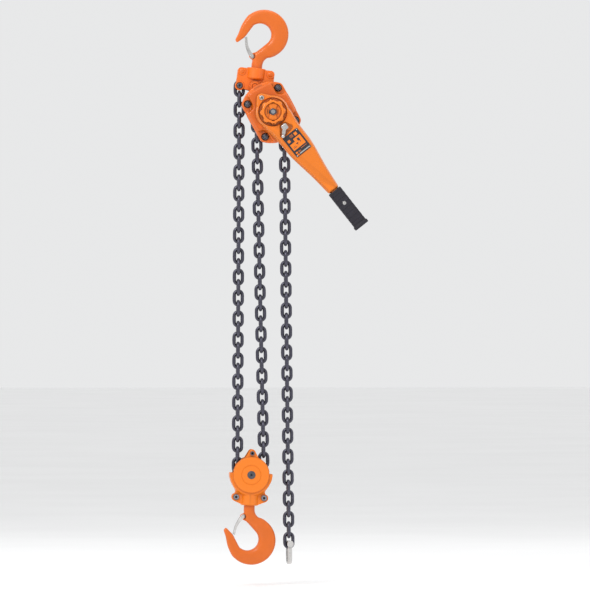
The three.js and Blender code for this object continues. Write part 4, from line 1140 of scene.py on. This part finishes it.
hub_corners = [(i * 4.4, j * 4.4, 4.2) for i in (-1, 1) for j in (-1, 1)]
hub = slab(resampled(around(hub_corners), 96), -112, -106.4, 1.2)
hub = shifted(hub, 0, SELECTOR_Z)
tip_x, tip_z = SELECTOR_TIP
reach = slab(resampled(around([(0, SELECTOR_Z, 5.2), (tip_x, tip_z, 4.4)]), 96), -110.6, -107, 0.9)
ball = lathe([(5.8 * sin(t), 5.8 * -cos(t)) for t in np.linspace(0, pi, 19)], 40)
ball = shifted(ball, tip_x, tip_z, -112.6)
selector_parts = [hub, reach, ball, bar(0, SELECTOR_Z, 5, -113.2, -80, 0.8, 32),
                  bar(tip_x, tip_z, 3, -112, -107, sides=24)]
piece("selector_fine", join(*selector_parts), LEVER, "selector", "zinc", ["selector_lever"])


# ---- hand wheel ----

LOBES, LOBE_MEAN, LOBE_SWING = 8, 33.9, 2.9
WHEEL_BACK, DISH_R, DISH_FLOOR = 98.0, 25.0, 112.0


def lobed(less=0.0, turn=12.0):
    def radius(a):
        wave = cos(LOBES * (a - radians(turn)))
        return LOBE_MEAN + LOBE_SWING * copysign(abs(wave) ** 0.7, wave) - less
    return by_angle(radius, 3)


def wheel_slot(x, z, half, r, y0, y1):
    dx, dz = turned((half, 0), -LEVER_TILT)
    return slab(around([(x + dx, z + dz, r), (x - dx, z - dz, r)], 24), y0, y1)


def hand_wheel():
    steps = [(1.5, -WHEEL_BACK), (0, -WHEEL_BACK - 1.5), (0, -115), (0.8, -118.2), (3, -120.4), (5.6, -121)]
    body = layers([(lobed(less), y) for less, y in steps])
    rim = lathe([(22, -115), (31.6, -115), (31.2, -120.8), (30, -121.8), (28.4, -122), (26.4, -121.6),
                 (25, -120), (22, -119)])
    boss = bar(0, 0, 15, -WHEEL_BACK - 1, -93, 0.8)
    dish = discs([(DISH_R - 2, -DISH_FLOOR), (DISH_R - 0.6, -DISH_FLOOR - 1), (DISH_R, -DISH_FLOOR - 3),
                  (DISH_R, -130)])
    wheel = join(cut(join(body, rim), dish), boss)
    bridges = []
    for up in (1, -1):
        wedge = [polar(6, 0), *[polar(24.4, a) for a in np.linspace(58, 122, 15)], polar(6, 180)]
        wedge = [turned((x, up * z), -LEVER_TILT) for x, z in wedge]
        wedge = rounded(wedge, 4, 96)
        bridges.append(stepped(wedge, [(0, -110), (0, -115.4), (0.8, -116.6), (2, -117)]))
    wheel = join(wheel, *bridges)
    slots = []
    for up in (1, -1):
        for distance, half, r in ((25.6, 3.2, 1.3), (34.6, 3.4, 1.6)):
            x, z = turned((0, up * distance), -LEVER_TILT)
            slots.append(wheel_slot(x, z, half, r, -125, -112))
        x, z = turned((up * 14.5, 0), -LEVER_TILT)
        dx, dz = turned((0, 6.0), -LEVER_TILT)
        slots.append(slab(around([(x + dx, z + dz, 1.3), (x - dx, z - dz, 1.3)], 24), -113, -108))
    return cut(wheel, *slots, bar(0, 0, 9, -130, -90, sides=48))


piece("hand_wheel_casting", hand_wheel(), LEVER, "hand_wheel", "lever_paint", ["hand_wheel"], bevel=0.35,
      angle=45)
wheel_nut = slab(resampled(circle(0, 0, 10.4, 6), 60), -121, -DISH_FLOOR - 1.6, 1.4)
wheel_washer = bar(0, 0, 11.4, -DISH_FLOOR - 1.7, -DISH_FLOOR + 3, 0.4)
wheel_nut = cut(join(wheel_nut, wheel_washer), bar(0, 0, 6.3, -125, -105, sides=40))
piece("hand_wheel_nut_fine", wheel_nut, LEVER, "hand_wheel", "black_steel", ["hand_wheel_nut"], bevel=0.3)


# ---- bottom block ----

DISC_R, BLOCK_FACE, SHELL_FACE, LOW_FACE = 51.5, 33.0, 27.0, 14.0
TOP_BOLT, LOW_BOLT = (0.0, 62.0), (40.0, -65.0)
AXLE_BORE, TOP_BOLT_BORE, LOW_BOLT_BORE = 11.8, 5.3, 5.8
GUARD_IN = 57.0


def block_silhouette():
    """Guards, waist, bolt lobes and the rounded bottom, as one outline."""
    right = [(61.3, 4.6), (61.4, 0), (60.6, -9), (57, -20), (51.5, -31), (45.5, -40), (42, -48),
             (43.5, -54)]
    lobe = [polar(12.5, a, LOW_BOLT) for a in range(40, -75, -12)]
    bottom = [(28, -83.5), (17, -87), (0, -88.2)]
    half = [*right, *lobe, *bottom]
    return half + [(-x, z) for x, z in half[-2::-1]]


def block_shell(side):
    shape = rounded(block_silhouette(), 2, 360)
    shell = slab(shape, *span(side, SPLIT, SHELL_FACE), 2.2)
    top_lobe = slab(resampled(around([(0, 64, 9.4), (-14, 44, 7), (14, 44, 7)]), 160),
                    *span(side, 22, SHELL_FACE), 1.6)
    step = lathe(on_side(side, [(56, FAR), (56, SHELL_FACE), (58, SHELL_FACE - 0.8), (63, LOW_FACE + 0.8),
                                (66, LOW_FACE), (110, LOW_FACE), (110, FAR)]), 144)
    step = combine(step, [cuboid((-120, -50, -120), (120, 50, -40))], "INTERSECT")
    shell = cut(shell, step)
    rear_rim = bar(0, 0, DISC_R + 1.5, *span(side, 22, SHELL_FACE), 1.2, 120)
    face, root = BLOCK_FACE, SHELL_FACE - 1
    disc = lathe(on_side(side, [(0.0, root), (DISC_R, root), (DISC_R, face - 2.2), (DISC_R - 0.5, face - 1),
                                (DISC_R - 1.6, face - 0.2), (DISC_R - 3, face), (29, face),
                                (28.2, face - 0.9), (27, face - 0.9), (26.2, face), (0.0, face)]), 144)
    boss = lathe([(0.0, -88), (22, -88), (25, -86.8), (26.5, -84), (26.5, -54), (0.0, -54)], 96, "Z")
    boss = half_of(boss, side)
    pads = [bar(i * LOW_BOLT[0], LOW_BOLT[1], 11.0, *span(side, 8, LOW_FACE + 1.2), 0.8) for i in (-1, 1)]
    pads.append(bar(*TOP_BOLT, 9.2, *span(side, 24, SHELL_FACE + 1), 1.0))
    body = join(shell, top_lobe, rear_rim, disc, boss, *pads)
    tools = [
        bar(0, 0, GUARD_IN, -22, 22, sides=96),
        cuboid((-70, -22, 4.6), (70, 22, 90)),
        cuboid((DISC_R + 0.2, -40, 4.6), (80, 40, 30)),
        cuboid((-80, -40, 4.6), (-DISC_R - 0.2, 40, 30)),
        hole(0, 0, AXLE_BORE, 64),
        lathe([(0.0, -100), (12.6, -100), (12.6, -50), (0.0, -50)], 48, "Z"),
        lathe([(0.0, -74), (18, -74), (18, -50), (0.0, -50)], 48, "Z"),
        hole(*TOP_BOLT, TOP_BOLT_BORE, 32),
    ]
    tools += [hole(i * LOW_BOLT[0], LOW_BOLT[1], LOW_BOLT_BORE, 32) for i in (-1, 1)]
    return cut(body, *tools)


for name, side in (("front", -1), ("rear", 1)):
    piece(f"block_casting_{name}", block_shell(side), BLOCK, "block", "lever_paint",
          [f"block_shell_{name}"], bevel=0.4, angle=45)

low_x, low_z = LOW_BOLT
for name, x, z, r, head_r, face in (("top", *TOP_BOLT, 5, 6.2, SHELL_FACE),
                                    ("left", -low_x, low_z, 5.5, 8.4, LOW_FACE),
                                    ("right", low_x, low_z, 5.5, 8.4, LOW_FACE)):
    bolt = headed_pin(x, z, r, head_r, face + 0.8, 5.4, edge=0.9)
    hexes = [slab(circle(x, z, head_r * 0.52, 6), *span(side, face + 0.2, face + 9)) for side in (-1, 1)]
    piece(f"block_socket_bolt_{name}", cut(bolt, *hexes), BLOCK, "block", "black_steel",
          [f"block_bolt_{name}"], bevel=0.25)

axle = bar(0, 0, 11.5, -BLOCK_FACE - 0.3, BLOCK_FACE + 0.3, 0.8)
centres = [bar(0, 0, 3, *span(side, BLOCK_FACE - 1.5, BLOCK_FACE + 3), sides=32) for side in (-1, 1)]
axle = cut(axle, *centres)
piece("idler_axle_fine", axle, BLOCK, "block", "black_steel", ["idler_axle"])


# ---- end stop on the slack fall ----

STOP_DROP, STRAP_R, STRAP_WALL = 57.6, 14.0, 5.8
STOP_TURN = 10.0
STOP_TILT = in_degrees(atan2(tail_top[0] - STOP_AT[0], tail_top[1] - STOP_AT[1]))
STOP = place(STOP_AT, STOP_TILT) @ Matrix.Rotation(radians(STOP_TURN), 4, "Z")


def end_stop():
    """A bolt through the last link, with a strap, bent to a U, edge-on below it."""
    bolt = join(bar(0, 0, 4, -19.6, 19, 0.6, 32), bar(0, 0, 9.6, -19.8, -16.4, 1.2),
                slab(resampled(circle(0, 0, 8, 6), 48), 15, 19, 1.0))
    bend = STRAP_R - STOP_DROP
    hole = STRAP_R - STRAP_WALL
    outer = resampled(around([(-STRAP_R + 3, 6, 3), (STRAP_R - 3, 6, 3), (0, bend, STRAP_R)]), 200)
    inner = around([(-hole + 1, 40, 1), (hole - 1, 40, 1), (0, bend, hole)])
    strap = cut(slab(outer, -6, 6, 1.6), slab(inner, -10, 10))
    return join(bolt, moved(strap, Matrix.Rotation(pi / 2, 4, "Z")))


piece("end_stop_fine", end_stop(), STOP, "end_stop", "zinc", ["chain_end_stop"], bevel=0.4)
